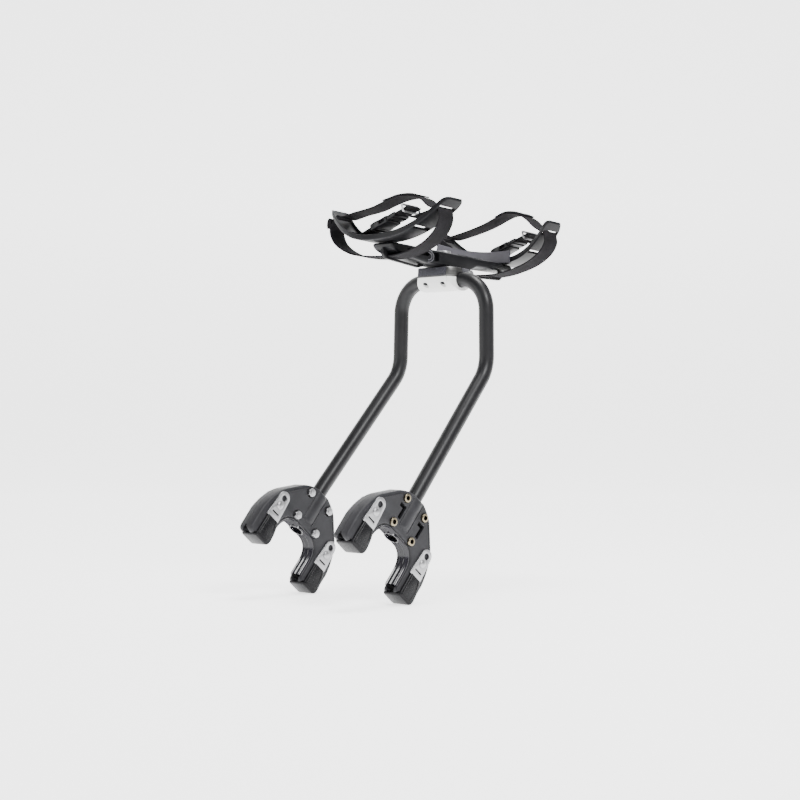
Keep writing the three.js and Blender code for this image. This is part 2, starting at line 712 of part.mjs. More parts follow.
function makeUnderStrap(way, word, slack) {
  const points = [[89, 71.5], [91.6, 65], [92.5, 57], [86, 45], [68, 32], [40, 22.5], [14, 18.3],
    [-14, 18.3], [-40, 21 - slack * 0.1], [-66, 28 - slack * 0.3], [-90, 43 - slack * 0.4],
    [-97.5, 54], [-96, 62], [-91.5, 67], [-89, 71.5]];
  addMesh(cradle, `${word}_under_strap`, band(route(points, way, UNDER_Y), 34), 'webbing');
}

function makeTopStrap(way, word, places) {
  addMesh(cradle, `${word}_top_strap`, band(route(places, way), 26), 'webbing');
}

// Directions along and square to the buckle's line, which climbs towards +X.
const CHAIN = new THREE.Vector3(Math.cos(CHAIN_ANGLE), 0, Math.sin(CHAIN_ANGLE));

function chainRoute(places, way) {
  return places.map(([x, z]) => new THREE.Vector3(x, way * CHAIN_Y, z));
}

function chainPoint(start, distance) {
  return [start[0] + CHAIN.x * distance, start[1] + CHAIN.z * distance];
}

function buckleGroup(way, start, distance) {
  const group = new THREE.Group();
  const [x, z] = chainPoint(start, distance);
  group.position.set(x, way * CHAIN_Y, z);
  group.rotation.y = -CHAIN_ANGLE;
  cradle.add(group);
  return group;
}

function socketGeometry() {
  const shape = new THREE.Shape();
  shape.moveTo(0, -13);
  shape.lineTo(6, -14);
  shape.lineTo(14, -14);
  shape.lineTo(17, -12.5);
  shape.lineTo(30, -12.5);
  shape.lineTo(30, 12.5);
  shape.lineTo(17, 12.5);
  shape.lineTo(14, 14);
  shape.lineTo(6, 14);
  shape.lineTo(0, 13);
  const body = solid(prismZ(shape, -4, 4));
  const mouth = solid(box(12, 40, -10.3, 10.3, -2.3, 2.3));
  const webSlot = solid(box(3, 6, -12.8, 12.8, -9, 9));
  return geometryOf(body.subtract(mouth).subtract(webSlot));
}

function tongueGeometry() {
  const blade = solid(box(14, 34, -9.8, 9.8, -1.8, 1.8));
  const gap = solid(box(10, 26, -4.5, 4.5, -9, 9));
  const bar = solid(box(30.8, 44, -13, 13, -2.6, 2.6));
  const webSlot = solid(box(37.5, 41, -12.7, 12.7, -9, 9));
  return geometryOf(blade.subtract(gap).add(bar).subtract(webSlot));
}

function ringGeometry() {
  const frame = new THREE.Shape();
  frame.moveTo(-16, -6);
  frame.lineTo(16, -6);
  frame.lineTo(16, 6);
  frame.lineTo(-16, 6);
  const window = new THREE.Path();
  window.moveTo(-13.2, -3.2);
  window.lineTo(-13.2, 3.2);
  window.lineTo(13.2, 3.2);
  window.lineTo(13.2, -3.2);
  frame.holes.push(window);
  return prismZ(frame, -1.3, 1.3).rotateX(Math.PI / 2).rotateZ(Math.PI / 2);
}

function makeBuckle(way, word, start) {
  const lead = 24;
  const anchor = [chainPoint(start, 0), chainPoint(start, 8), chainPoint(start, lead - GAP)];
  addMesh(cradle, `${word}_buckle_strap`, band(chainRoute(anchor, way), 5, 24), 'webbing');
  const group = buckleGroup(way, start, lead);
  addMesh(group, `${word}_buckle_socket`, socketGeometry(), 'buckle');
  addMesh(group, `${word}_buckle_tongue`, tongueGeometry(), 'buckle');
  const tail = box(44 + GAP, 66, -12, 12, -0.9, 0.9);
  addMesh(group, `${word}_tongue_strap`, tail, 'webbing');
  addMesh(group, `${word}_strap_ring`, ringGeometry().translate(60, 0, 0), 'steel');
  const ringFoot = chainPoint(start, lead + 60);
  const from = [ringFoot[0] + 2.4, ringFoot[1] - 8.4];
  const seat = armRise(80) + FLOOR + 2.2;
  const places = [from, [from[0] + 8, from[1] - 2], [71, seat], [83, armRise(83) + FLOOR + 4]];
  const tabRoute = places.map(([x, z]) => {
    const y = THREE.MathUtils.mapLinear(x, 83, 49, 99, CHAIN_Y);
    return new THREE.Vector3(x, way * y, z);
  });
  addMesh(cradle, `${word}_anchor_tab`, band(tabRoute, 8, 20, 2.4), 'webbing');
}

makeTube();
makeClaw(-1, 'left');
makeClaw(1, 'right');
makeHead();
makeHeadFasteners();
makeKeel();
[[-1, 'front'], [1, 'rear']].forEach(([way, word]) => {
  makeArm(way, word);
});
makeRearWall();
makeUnderStrap(-1, 'front', 9);
makeUnderStrap(1, 'rear', 0);
makeTopStrap(-1, 'front', [[-87, 73.8], [-80, 71.4], [-56, 75], [-25, 79], [-2, 85], [19, 89], [40, 89],
  [57, 84.5], [74, 73], [84, 71.2]]);
makeTopStrap(1, 'rear', [[-87, 75], [-80, 73.6], [-50, 78], [-15, 86], [22, 98], [40, 97],
  [57, 90], [74, 77], [84, 71.6]]);
makeBuckle(-1, 'front', [-33, 42]);
makeBuckle(1, 'rear', [-33, 42]);

export default assembly;
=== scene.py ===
# The finished look of the bar-mounted ski carrier. Each visual piece is made in
# millimetres, in the frame of its claw or of the head, which the cradle shares.
# It is then set in the part's own frame, in metres.
import math

import bmesh
import bpy
from mathutils import Matrix, Vector
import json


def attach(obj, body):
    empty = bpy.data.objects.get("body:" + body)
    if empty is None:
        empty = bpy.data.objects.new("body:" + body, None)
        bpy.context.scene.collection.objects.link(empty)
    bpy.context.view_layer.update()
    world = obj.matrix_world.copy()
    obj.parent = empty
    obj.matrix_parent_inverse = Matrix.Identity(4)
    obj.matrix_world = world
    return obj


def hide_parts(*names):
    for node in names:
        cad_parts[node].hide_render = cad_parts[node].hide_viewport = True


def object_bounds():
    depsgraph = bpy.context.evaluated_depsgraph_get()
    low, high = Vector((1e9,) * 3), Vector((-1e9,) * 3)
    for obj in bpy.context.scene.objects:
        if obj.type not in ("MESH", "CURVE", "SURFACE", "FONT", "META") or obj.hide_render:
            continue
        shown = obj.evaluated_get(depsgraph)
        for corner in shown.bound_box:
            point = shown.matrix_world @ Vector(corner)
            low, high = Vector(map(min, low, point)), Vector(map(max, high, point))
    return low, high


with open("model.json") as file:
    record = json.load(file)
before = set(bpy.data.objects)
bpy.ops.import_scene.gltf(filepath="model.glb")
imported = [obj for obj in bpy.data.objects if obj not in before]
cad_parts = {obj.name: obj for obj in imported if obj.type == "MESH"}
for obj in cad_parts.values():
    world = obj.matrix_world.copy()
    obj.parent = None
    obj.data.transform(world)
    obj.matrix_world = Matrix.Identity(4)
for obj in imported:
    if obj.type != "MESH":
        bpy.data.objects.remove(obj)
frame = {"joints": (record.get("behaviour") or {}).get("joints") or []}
LOW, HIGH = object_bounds()
JOINTS = {joint["name"]: joint for joint in frame["joints"]}
MM = 0.001


# ---- the frames of the claws and of the head ----
def axes(across, up, out, origin):
    columns = Matrix((across * MM, up * MM, out * MM)).transposed().to_4x4()
    columns.translation = origin
    return columns


def claw_frame(word, side):
    upper = Vector(JOINTS[word + "_upper_pad_pivot"]["pos_m"])
    lower = Vector(JOINTS[word + "_lower_pad_pivot"]["pos_m"])
    across = (lower - upper).normalized()
    up = Vector((0, -across.z, across.y))
    origin = (upper + lower) / 2 - up * RIVET_RISE * MM
    return axes(across, up, Vector((side, 0, 0)), origin)


def head_frame():
    up = Vector(JOINTS["cradle_swivel"]["axis"])
    right = Vector((1, 0, 0))
    return axes(right, up.cross(right), up, Vector(JOINTS["head_tilt"]["pos_m"]))


# ---- driving dimensions, mm ----
# The clearance between pieces that face each other.
GAP = 0.3

# The tube, with the corners of its right half.
TUBE_RADIUS = 9.5
TUBE_WALL = 1.8
TUBE_EXIT = 98
ELBOW = Vector((75.6, 193.7, 221.7))
TOP_CORNER = Vector((73.5, 195, 334.6))
BEND_RADII = (60, 48, 40)

# The claws, with Y up from the gripped bar's axis and X from one arm to the other.
CLAW_TOP = 87
PLATE_HALF = 11.5
RIDGE_RADIUS = 14
SHELL_SPLIT = 0.15
THROAT_BASE = 31
THROAT_HALF = 33
THROAT_STRAIGHT = 8
LINER_THICK = 3.3
LINER_HALF = 9.6
RIB_PLACES = (-6.4, 0, 6.4)
RIB_RISE = 2.2
RIB_SPREAD = 1.25
SLOT_LEFTS = (-23, 15)
SLOT_REACH = 11
SLOT_RISE = 9
SLOT_DROP = 18
SLOT_WIDTH = 5.0
BOLT_RISE = 57
BOLT_SPREAD = 19
BOLT_PITCH = 17.4
BOLT_SEAT = 5.7
NUT_SEAT = 6.4
SEAT_FACE = 9.5
TIP = -19.5
TIP_ROUND = 7
TIP_UNDER_BOOT = -15.5
TIP_HOLLOW = 6
TIP_HOLLOW_BACK = 1.5

# The boots and links, with X from the middle of the arm that they sit on.
BOOT_END = -20
BOOT_TOP = 13
BOOT_HALF = 15
BOOT_REAR = -8.5
BOOT_ROOM = 1.2
BOOT_SWING = 2.2
LINK_OFFSET = 50
LINK_HALF = 10.5
LINK_THICK = 2.2
LINK_EYE = 41
RIVET_RISE = 30

# The head, with its origin on the axis of the tube's top bar.
HEAD_TOP = 15.2
HEAD_SPLIT = 3.4
HEAD_BOTTOM = -13
HEAD_FRONT = -21.5
HEAD_REAR = 27
HEAD_FACE = 23.7
HEAD_SIDE = 32
COVER_HALF = 24.5
SCREW_X = 15
SCREW_FRONT = -15.5
SCREW_REAR = 16.5
JAW_BOLT_Y = 18
JAW_BOLT_Z = 9.8
JAW_REACH = 27.5
POST_RADIUS = 7

# The cradle, in the head's frame.
KEEL_BOTTOM = 16
KEEL_TOP = 34
KEEL_HALF_WIDTH = 17
POCKET_FLOOR = 9
PAD_HALF = 12
PAD_START = 14
PAD_END = 60
PAD_RISE = 1.2
PLATE_BOTTOM = 34.3
ARM_SPAN = 102
ARM_RISE = 45.7
ARM_OFFSET = 92
ARM_BULGE = 21
ARM_HALF_WIDTH = 16
ARM_TAPER = 9
ARM_SLOTS = ((87.5, 94), (58, 64))
ARM_SLOT_HALF = 13.4
ARM_SCREW_X = 9
ARM_SCREW_Y = 104
RIM = 2.5
RIM_HEIGHT = 7
FLOOR = 3
WALL_LEFT = -90
WALL_RIGHT = 27
WALL_THICK = 2.6

# The webbing, and the slanting chain of buckle, ring and tab on each arm.
WEB_WIDTH = 25
WEB_THICK = 1.8
BUCKLE_WEB = 24
STRAP_Y = 97
STRAP_TIP = 90
UNDER_Y = 90.5
CHAIN_X = -33
CHAIN_Y = 111
CHAIN_Z = 42
CHAIN_ANGLE = math.radians(20)
CHAIN_LEAD = 24
RING_REACH = 60
TAB_Y = 99
TAB_END = 83
TAB_RUN = 34

# From what angle an edge is shaded sharp, and from what it is rounded, in degrees.
SHARP = 32
ROUNDED = 38

# The camera, in metres.
CAMERA_AIM = Vector((0, 0.1174, 0.1833))
CAMERA_DISTANCE = 2.108
CAMERA_LENS = 76.5


# ---- looks ----
def finish(
    name, dark, light, rough, metallic=0.0, grain=900, bump=0.1, cloud=60, tall=1.0, glint=0.5
):
    material = bpy.data.materials.new(name)
    material.use_nodes = True
    nodes = material.node_tree.nodes
    link = material.node_tree.links.new
    shader = nodes["Principled BSDF"]
    shader.inputs["Metallic"].default_value = metallic
    shader.inputs["Specular IOR Level"].default_value = glint
    place = nodes.new("ShaderNodeTexCoord")
    stretch = nodes.new("ShaderNodeMapping")
    stretch.inputs["Scale"].default_value = (1, 1, tall)
    link(place.outputs["Object"], stretch.inputs["Vector"])
    wide = nodes.new("ShaderNodeTexNoise")
    wide.inputs["Scale"].default_value = cloud
    wide.inputs["Detail"].default_value = 5
    link(stretch.outputs["Vector"], wide.inputs["Vector"])
    tone = nodes.new("ShaderNodeValToRGB")
    tone.color_ramp.elements[0].position = 0.3
    tone.color_ramp.elements[0].color = (*dark, 1)
    tone.color_ramp.elements[1].position = 0.7
    tone.color_ramp.elements[1].color = (*light, 1)
    link(wide.outputs["Fac"], tone.inputs["Fac"])
    link(tone.outputs["Color"], shader.inputs["Base Color"])
    fine = nodes.new("ShaderNodeTexNoise")
    fine.inputs["Scale"].default_value = grain
    fine.inputs["Detail"].default_value = 3
    link(stretch.outputs["Vector"], fine.inputs["Vector"])
    shine = nodes.new("ShaderNodeMapRange")
    shine.inputs["To Min"].default_value = rough[0]
    shine.inputs["To Max"].default_value = rough[1]
    link(fine.outputs["Fac"], shine.inputs["Value"])
    link(shine.outputs["Result"], shader.inputs["Roughness"])
    relief = nodes.new("ShaderNodeBump")
    relief.inputs["Strength"].default_value = bump
    relief.inputs["Distance"].default_value = 0.0003
    link(fine.outputs["Fac"], relief.inputs["Height"])
    link(relief.outputs["Normal"], shader.inputs["Normal"])
    return material


# The distance from one rib of the weave to the next, in metres.
WEAVE_PITCH = 0.0011


# Twill weave laid out by the strip's own UV, in metres along and across. A wave
# texture of scale 1 has 20 bands in 2 pi units.
def weave(name, dark, light):
    material = finish(name, dark, light, (0.75, 0.95), grain=1400, glint=0.08)
    nodes = material.node_tree.nodes
    link = material.node_tree.links.new
    shader = nodes["Principled BSDF"]
    flat = nodes.new("ShaderNodeUVMap")
    waves = []
    for direction in ("X", "DIAGONAL"):
        wave = nodes.new("ShaderNodeTexWave")
        wave.bands_direction = direction
        wave.inputs["Scale"].default_value = 2 * math.pi / (20 * WEAVE_PITCH)
        wave.inputs["Distortion"].default_value = 0.4
        wave.inputs["Detail"].default_value = 1
        link(flat.outputs["UV"], wave.inputs["Vector"])
        waves.append(wave)
    both = nodes.new("ShaderNodeMath")
    both.operation = "MULTIPLY_ADD"
    both.inputs[1].default_value = 0.6
    link(waves[0].outputs["Fac"], both.inputs[0])
    link(waves[1].outputs["Fac"], both.inputs[2])
    shade = nodes.new("ShaderNodeMapRange")
    shade.inputs["From Max"].default_value = 1.6
    shade.inputs["To Min"].default_value = 0.55
    shade.inputs["To Max"].default_value = 1.25
    link(both.outputs["Value"], shade.inputs["Value"])
    tint = nodes.new("ShaderNodeVectorMath")
    tint.operation = "SCALE"
    tone = next(node for node in nodes if node.bl_idname == "ShaderNodeValToRGB")
    link(tone.outputs["Color"], tint.inputs[0])
    link(shade.outputs["Result"], tint.inputs["Scale"])
    link(tint.outputs["Vector"], shader.inputs["Base Color"])
    relief = nodes.new("ShaderNodeBump")
    relief.inputs["Strength"].default_value = 0.6
    relief.inputs["Distance"].default_value = 0.0004
    link(both.outputs["Value"], relief.inputs["Height"])
    link(relief.outputs["Normal"], shader.inputs["Normal"])
    return material


# Colours run from dark to light, and roughness from low to high.
LOOKS = {
    "tube": finish(
        "tube_powder_coat", (0.006, 0.006, 0.007), (0.010, 0.010, 0.011), (0.34, 0.42),
        bump=0.08, glint=0.3,
    ),
    "shell": finish(
        "shell_nylon", (0.016, 0.016, 0.018), (0.024, 0.024, 0.027), (0.40, 0.50),
        bump=0.12, glint=0.22,
    ),
    "liner": finish(
        "liner_rubber", (0.006, 0.006, 0.009), (0.010, 0.009, 0.014), (0.16, 0.24), bump=0.05
    ),
    "boot": finish(
        "boot_rubber", (0.004, 0.004, 0.005), (0.008, 0.008, 0.009), (0.22, 0.32),
        bump=0.08, glint=0.16,
    ),
    "steel": finish(
        "stainless", (0.36, 0.36, 0.37), (0.43, 0.43, 0.44), (0.36, 0.43),
        metallic=1, bump=0.03, cloud=20,
    ),
    "zinc": finish(
        "zinc_plate", (0.24, 0.205, 0.14), (0.32, 0.275, 0.19), (0.24, 0.34),
        metallic=1, bump=0.03,
    ),
    "white": finish(
        "white_plastic", (0.74, 0.74, 0.73), (0.80, 0.80, 0.79), (0.35, 0.5),
        bump=0.05, cloud=25,
    ),
    "alloy": finish(
        "satin_alloy", (0.10, 0.10, 0.10), (0.16, 0.16, 0.155), (0.28, 0.4),
        metallic=1, bump=0.05, tall=9,
    ),
    "badge": finish(
        "mottled_cover", (0.010, 0.010, 0.014), (0.040, 0.040, 0.050), (0.5, 0.7),
        cloud=420, glint=0.3,
    ),
    "jaw": finish("jaw_nylon", (0.045, 0.045, 0.052), (0.06, 0.06, 0.068), (0.35, 0.5), bump=0.1),
    "cradle": finish(
        "cradle_nylon", (0.004, 0.004, 0.005), (0.008, 0.008, 0.009), (0.32, 0.42),
        bump=0.1, glint=0.16,
    ),
    "wall": finish(
        "wall_nylon", (0.060, 0.058, 0.070), (0.078, 0.075, 0.088), (0.4, 0.5), bump=0.08
    ),
    "webbing": weave("webbing_weave", (0.010, 0.0095, 0.0105), (0.016, 0.015, 0.017)),
    "buckle": finish(
        "acetal", (0.004, 0.004, 0.005), (0.007, 0.007, 0.008), (0.24, 0.34),
        bump=0.06, glint=0.25,
    ),
    # Near-black painted shade, for plates and discs set where holes and slots lie in shadow.
    "shade": finish(
        "painted_shade", (0.0008, 0.0008, 0.001), (0.0014, 0.0014, 0.0016), (0.9, 1.0), glint=0.05
    ),
    "thread": finish(
        "thread", (0.02, 0.019, 0.022), (0.035, 0.033, 0.038), (0.6, 0.85), grain=2500
    ),
}


# ---- solids, mm ----
def mesh_of(points, faces):
    mesh = bpy.data.meshes.new("solid")
    mesh.from_pydata([tuple(point) for point in points], [], faces)
    mesh.update()
    return mesh


def through_bmesh(mesh, work):
    whole = bmesh.new()
    if mesh:
        whole.from_mesh(mesh)
    work(whole)
    result = mesh or bpy.data.meshes.new("solid")
    whole.to_mesh(result)
    whole.free()
    result.update()
    return result


def welded(mesh, distance=0.001):
    def work(whole):
        bmesh.ops.remove_doubles(whole, verts=whole.verts, dist=distance)
        bmesh.ops.recalc_face_normals(whole, faces=whole.faces)

    return through_bmesh(mesh, work)


# The side faces between rings that follow each other, each ring of count points.
def side_faces(rows, count):
    faces = []
    for row in range(rows - 1):
        for i in range(count):
            a = row * count + i
            b = row * count + (i + 1) % count
            faces.append((a, b, b + count, a + count))
    return faces


# Joins rings of points into a skin with flat ends.
def skin(rings, capped=True):
    count = len(rings[0])
    points = [point for ring in rings for point in ring]
    faces = side_faces(len(rings), count)
    if capped:
        last = (len(rings) - 1) * count
        faces.append(tuple(range(count - 1, -1, -1)))
        faces.append(tuple(range(last, last + count)))
    return welded(mesh_of(points, faces), 1e-5)


def lathe(profile, sides=48):
    turn = [2 * math.pi * i / sides for i in range(sides)]
    rings = [
        [(radius * math.cos(a), radius * math.sin(a), height) for a in turn]
        for radius, height in profile
    ]
    return welded(skin(rings, capped=False), 1e-4)


def rod(radius, low, high, edge=0.0, sides=48, steps=3):
    profile = [(0, low)]
    for k in range(steps + 1):
        a = math.pi / 2 * k / steps
        profile.append((radius - edge + edge * math.sin(a), low + edge - edge * math.cos(a)))
    for k in range(steps + 1):
        a = math.pi / 2 * k / steps
        profile.append((radius - edge + edge * math.cos(a), high - edge + edge * math.sin(a)))
    profile.append((0, high))
    if not edge:
        profile = [(0, low), (radius, low), (radius, high), (0, high)]
    return lathe(profile, sides)


def moved(mesh, x=0, y=0, z=0):
    mesh.transform(Matrix.Translation((x, y, z)))
    return mesh


def along_x(mesh):
    mesh.transform(Matrix.Rotation(math.pi / 2, 4, "Y"))
    return mesh


def along_y(mesh):
    mesh.transform(Matrix.Rotation(-math.pi / 2, 4, "X"))
    return mesh


def block(x0, x1, y0, y1, z0, z1, edge=0.0):
    def work(whole):
        size = Matrix.Diagonal((x1 - x0, y1 - y0, z1 - z0, 1))
        middle = Matrix.Translation(((x0 + x1) / 2, (y0 + y1) / 2, (z0 + z1) / 2))
        bmesh.ops.create_cube(whole, size=1, matrix=middle @ size)
        if edge:
            bmesh.ops.bevel(
                whole, geom=whole.edges[:], offset=edge, segments=3, profile=0.5, affect="EDGES"
            )

    return through_bmesh(None, work)


# A flat plate with rounded edges, from an outline and holes in x and y.
def slab(outline, low, high, edge, holes=()):
    curve = bpy.data.curves.new("slab", "CURVE")
    curve.dimensions = "2D"
    curve.fill_mode = "BOTH"
    for ring in (outline, *holes):
        spline = curve.splines.new("POLY")
        spline.points.add(len(ring) - 1)
        for point, (x, y) in zip(spline.points, ring):
            point.co = (x, y, 0, 1)
        spline.use_cyclic_u = True
    curve.extrude = (high - low) / 2 - edge
    curve.bevel_depth = edge
    curve.bevel_resolution = 2
    curve.offset = -edge
    holder = bpy.data.objects.new("slab", curve)
    mesh = bpy.data.meshes.new_from_object(holder)
    bpy.data.objects.remove(holder)
    bpy.data.curves.remove(curve)
    return moved(welded(mesh), z=(low + high) / 2)


def boolean(base, tool, operation):
    a = bpy.data.objects.new("a", base)
    b = bpy.data.objects.new("b", tool)
    for obj in (a, b):
        bpy.context.scene.collection.objects.link(obj)
    change = a.modifiers.new("change", "BOOLEAN")
    change.operation = operation
    change.solver = "MANIFOLD"
    change.object = b
    graph = bpy.context.evaluated_depsgraph_get()
    result = bpy.data.meshes.new_from_object(a.evaluated_get(graph))
    bpy.data.objects.remove(a)
    bpy.data.objects.remove(b)
    return result


def cut(base, *tools):
    for tool in tools:
        base = boolean(base, tool, "DIFFERENCE")
    return base


def added(base, *tools):
    for tool in tools:
        base = boolean(base, tool, "UNION")
    return base


def common(base, *tools):
    for tool in tools:
        base = boolean(base, tool, "INTERSECT")
    return base


def gathered(*meshes):
    def work(whole):
        for mesh in meshes:
            whole.from_mesh(mesh)

    return through_bmesh(None, work)


def circle(radius, sides=40, x=0.0, y=0.0):
    turn = [2 * math.pi * i / sides for i in range(sides)]
    return [(x + radius * math.cos(a), y + radius * math.sin(a)) for a in turn]


def bend(start, control, end, steps=8):
    points = []
    for k in range(1, steps + 1):
        t = k / steps
        points.append(tuple(
            (1 - t) ** 2 * a + 2 * t * (1 - t) * b + t * t * c
            for a, b, c in zip(start, control, end)
        ))
    return points


# ---- pieces ----
# Puts a copy of the mesh on its body, in place of the nodes named.
def piece(name, mesh, place, look, body, nodes=(), soft=0.0, angle=SHARP):
    mesh = mesh.copy()
    mesh.transform(place)
    if place.determinant() < 0:
        mesh.flip_normals()
    mesh.polygons.foreach_set("use_smooth", [True] * len(mesh.polygons))
    mesh.set_sharp_from_angle(angle=math.radians(angle))
    mesh.materials.clear()
    mesh.materials.append(LOOKS[look])
    obj = bpy.data.objects.new(name, mesh)
    bpy.context.scene.collection.objects.link(obj)
    if soft:
        rounding = obj.modifiers.new("edges", "BEVEL")
        rounding.width = soft * MM
        rounding.segments = 2
        rounding.limit_method = "ANGLE"
        rounding.angle_limit = math.radians(ROUNDED)
        rounding.harden_normals = True
    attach(obj, body)
    if nodes:
        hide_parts(*nodes)
    return obj


# ---- lines that run through points ----
# A smooth line through the points, without overshoot.
def spline(points, per=14):
    ends = [points[0] * 2 - points[1], *points, points[-1] * 2 - points[-2]]
    line = []
    for p0, p1, p2, p3 in zip(ends, ends[1:], ends[2:], ends[3:]):
        d0, d1, d2 = (
            max(math.sqrt((b - a).length), 1e-4) for a, b in ((p0, p1), (p1, p2), (p2, p3))
        )
        out = ((p1 - p0) / d0 - (p2 - p0) / (d0 + d1) + (p2 - p1) / d1) * d1
        into = ((p2 - p1) / d1 - (p3 - p1) / (d1 + d2) + (p3 - p2) / d2) * d1
        for k in range(per):
            t = k / per
            line.append(
                p1 * (2 * t**3 - 3 * t**2 + 1) + out * (t**3 - 2 * t**2 + t)
                + p2 * (3 * t**2 - 2 * t**3) + into * (t**3 - t**2)
            )
    line.append(points[-1].copy())
    return line


def spaced(line, step):
    lengths = [0.0]
    for a, b in zip(line, line[1:]):
        lengths.append(lengths[-1] + (b - a).length)
    count = max(2, round(lengths[-1] / step))
    result = []
    row = 0
    for k in range(count + 1):
        want = lengths[-1] * k / count
        while row < len(line) - 2 and lengths[row + 1] < want:
            row += 1
        span = max(lengths[row + 1] - lengths[row], 1e-9)
        result.append(line[row].lerp(line[row + 1], (want - lengths[row]) / span))
    return result


def directions(line):
    result = []
    for i in range(len(line)):
        result.append((line[min(i + 1, len(line) - 1)] - line[max(i - 1, 0)]).normalized())
    return result


def wire(line, radius, sides=24):
    first = (line[1] - line[0]).normalized()
    normal = Vector((0, 1, 0)) if abs(first.y) < 0.9 else Vector((1, 0, 0))
    rings = []
    for middle, along in zip(line, directions(line)):
        normal = (normal - along * normal.dot(along)).normalized()
        other = along.cross(normal)
        rings.append([
            middle + (normal * math.cos(a) + other * math.sin(a)) * radius
            for a in (2 * math.pi * i / sides for i in range(sides))
        ])
    return skin(rings)


# ---- frame tube ----
def rounded_path(points, radii, step):
    line = [points[0]]
    for before, corner, after, radius in zip(points, points[1:], points[2:], radii):
        inward = (corner - before).normalized()
        outward = (after - corner).normalized()
        angle = inward.angle(outward)
        start = corner - inward * radius * math.tan(angle / 2)
        centre = corner + (outward - inward).normalized() * radius / math.cos(angle / 2)
        axis = inward.cross(outward).normalized()
        count = max(2, round(radius * angle / step))
        for k in range(count + 1):
            turn = Matrix.Rotation(angle * k / count, 3, axis)
            line.append(centre + turn @ (start - centre))
    line.append(points[-1])
    return line


def make_tube():
    to_mm = Matrix.Scale(1 / MM, 4) @ CLAWS["right"]
    foot = to_mm @ Vector((0, THROAT_BASE + 4, 0))
    leave = to_mm @ Vector((0, TUBE_EXIT, 0))
    half = [foot, leave, ELBOW, TOP_CORNER]
    flip = Vector((-1, 1, 1))
    points = [point * flip for point in half] + half[::-1]
    line = rounded_path(points, BEND_RADII + BEND_RADII[::-1], 2.5)
    pipe = wire(line, TUBE_RADIUS, 56)
    for end, next_in in ((line[0], line[1]), (line[-1], line[-2])):
        along = (next_in - end).normalized()
        bore = wire([end - along * 5, end + along * 30], TUBE_RADIUS - TUBE_WALL, 40)
        pipe = cut(pipe, bore)
    piece("tube", pipe, Matrix.Scale(MM, 4), "tube", "frame", ["frame_tube"])


# The right half of a claw's outline, from its crest down the outside to the tip and
# back up the throat to the middle. A positive grow widens the throat.
def half_outline(grow):
    throat = THROAT_HALF + grow
    base = THROAT_BASE + grow
    line = [(0, CLAW_TOP), (10, CLAW_TOP)]
    line += bend(line[-1], (22, 83.5), (31.4, 76.8))
    line += [(52.7, 54.4)]
    line += bend(line[-1], (66, 38), (69, 12), 12)
    line += [(68.5, TIP + TIP_ROUND)]
    line += bend(line[-1], (68, TIP), (62, TIP), 5)
    line += [(throat + 6, TIP)]
    line += bend(line[-1], (throat, TIP), (throat, TIP + TIP_ROUND), 5)
    line += [(throat, THROAT_STRAIGHT)]
    line += bend(line[-1], (throat - 1, base - 1), (13, base), 12)
    line += [(0, base)]
    return line


def both_sides(half):
    return half + [(-x, y) for x, y in half[-2:0:-1]]


def bent_slot(left):
    right = left + SLOT_REACH
    top = BOLT_RISE + SLOT_RISE
    foot = top - SLOT_DROP
    points = [
        (left, top), (right, top), (right, foot), (right - SLOT_WIDTH, foot),
        (right - SLOT_WIDTH, top - SLOT_WIDTH), (left, top - SLOT_WIDTH),
    ]
    return slab(points[::-1], PLATE_HALF - 7, PLATE_HALF + 5, 0)


# Where the step in an arm's tip starts, under the rear edge of its boot.
def step_edge(across):
    return across * LINK_OFFSET + BOOT_REAR - BOOT_SWING


def shell_mesh(outer):
    body = slab(both_sides(half_outline(LINER_THICK)), -PLATE_HALF, PLATE_HALF, 3)
    crest = CLAW_TOP - 0.5
    ridge = along_y(rod(RIDGE_RADIUS, THROAT_BASE + 10, crest, edge=5, sides=72, steps=5))
    body = added(body, ridge)
    way = 1 if outer else -1
    low, high = (SHELL_SPLIT, 40) if outer else (-40, -SHELL_SPLIT)
    body = common(body, block(-90, 90, -60, 120, low, high))
    body = cut(body, along_y(rod(TUBE_RADIUS + 0.6, THROAT_BASE, 100, sides=56)))
    for across in (-1, 1):
        for up in (-1, 1):
            if outer:
                seat = rod(BOLT_SEAT, SEAT_FACE, 30, sides=40)
            else:
                seat = rod(NUT_SEAT, -30, -SEAT_FACE, sides=40)
            body = cut(body, moved(seat, across * BOLT_SPREAD, BOLT_RISE + up * BOLT_PITCH))
        edge = step_edge(across)
        body = cut(body, block(edge, edge + 40, TIP - 10, TIP_UNDER_BOOT, -30, 30))
        hollow = along_y(rod(TIP_HOLLOW, TIP - 10, TIP + 12))
        body = cut(body, moved(hollow, edge - TIP_HOLLOW_BACK), groove(across, way))
    if outer:
        body = cut(body, *(bent_slot(left) for left in SLOT_LEFTS))
    return body


# Black plates of painted shade, set where the insides of the slots, the hollow tips and the tube
# lie in shadow.
def shade_mesh():
    parts = []
    for left in SLOT_LEFTS:
        reach = SLOT_RISE + 1
        right = left + SLOT_REACH + 1
        parts.append(block(left - 1, right, BOLT_RISE - reach, BOLT_RISE + reach, 7.6, 8.2))
    for across in (-1, 1):
        plate = along_y(rod(TIP_HOLLOW + 0.3, TIP + 5.5, TIP + 6.5))
        parts.append(moved(plate, step_edge(across) - TIP_HOLLOW_BACK))
    parts.append(along_y(rod(TUBE_RADIUS - 1.4, THROAT_BASE + 6, THROAT_BASE + 7)))
    return gathered(*parts)


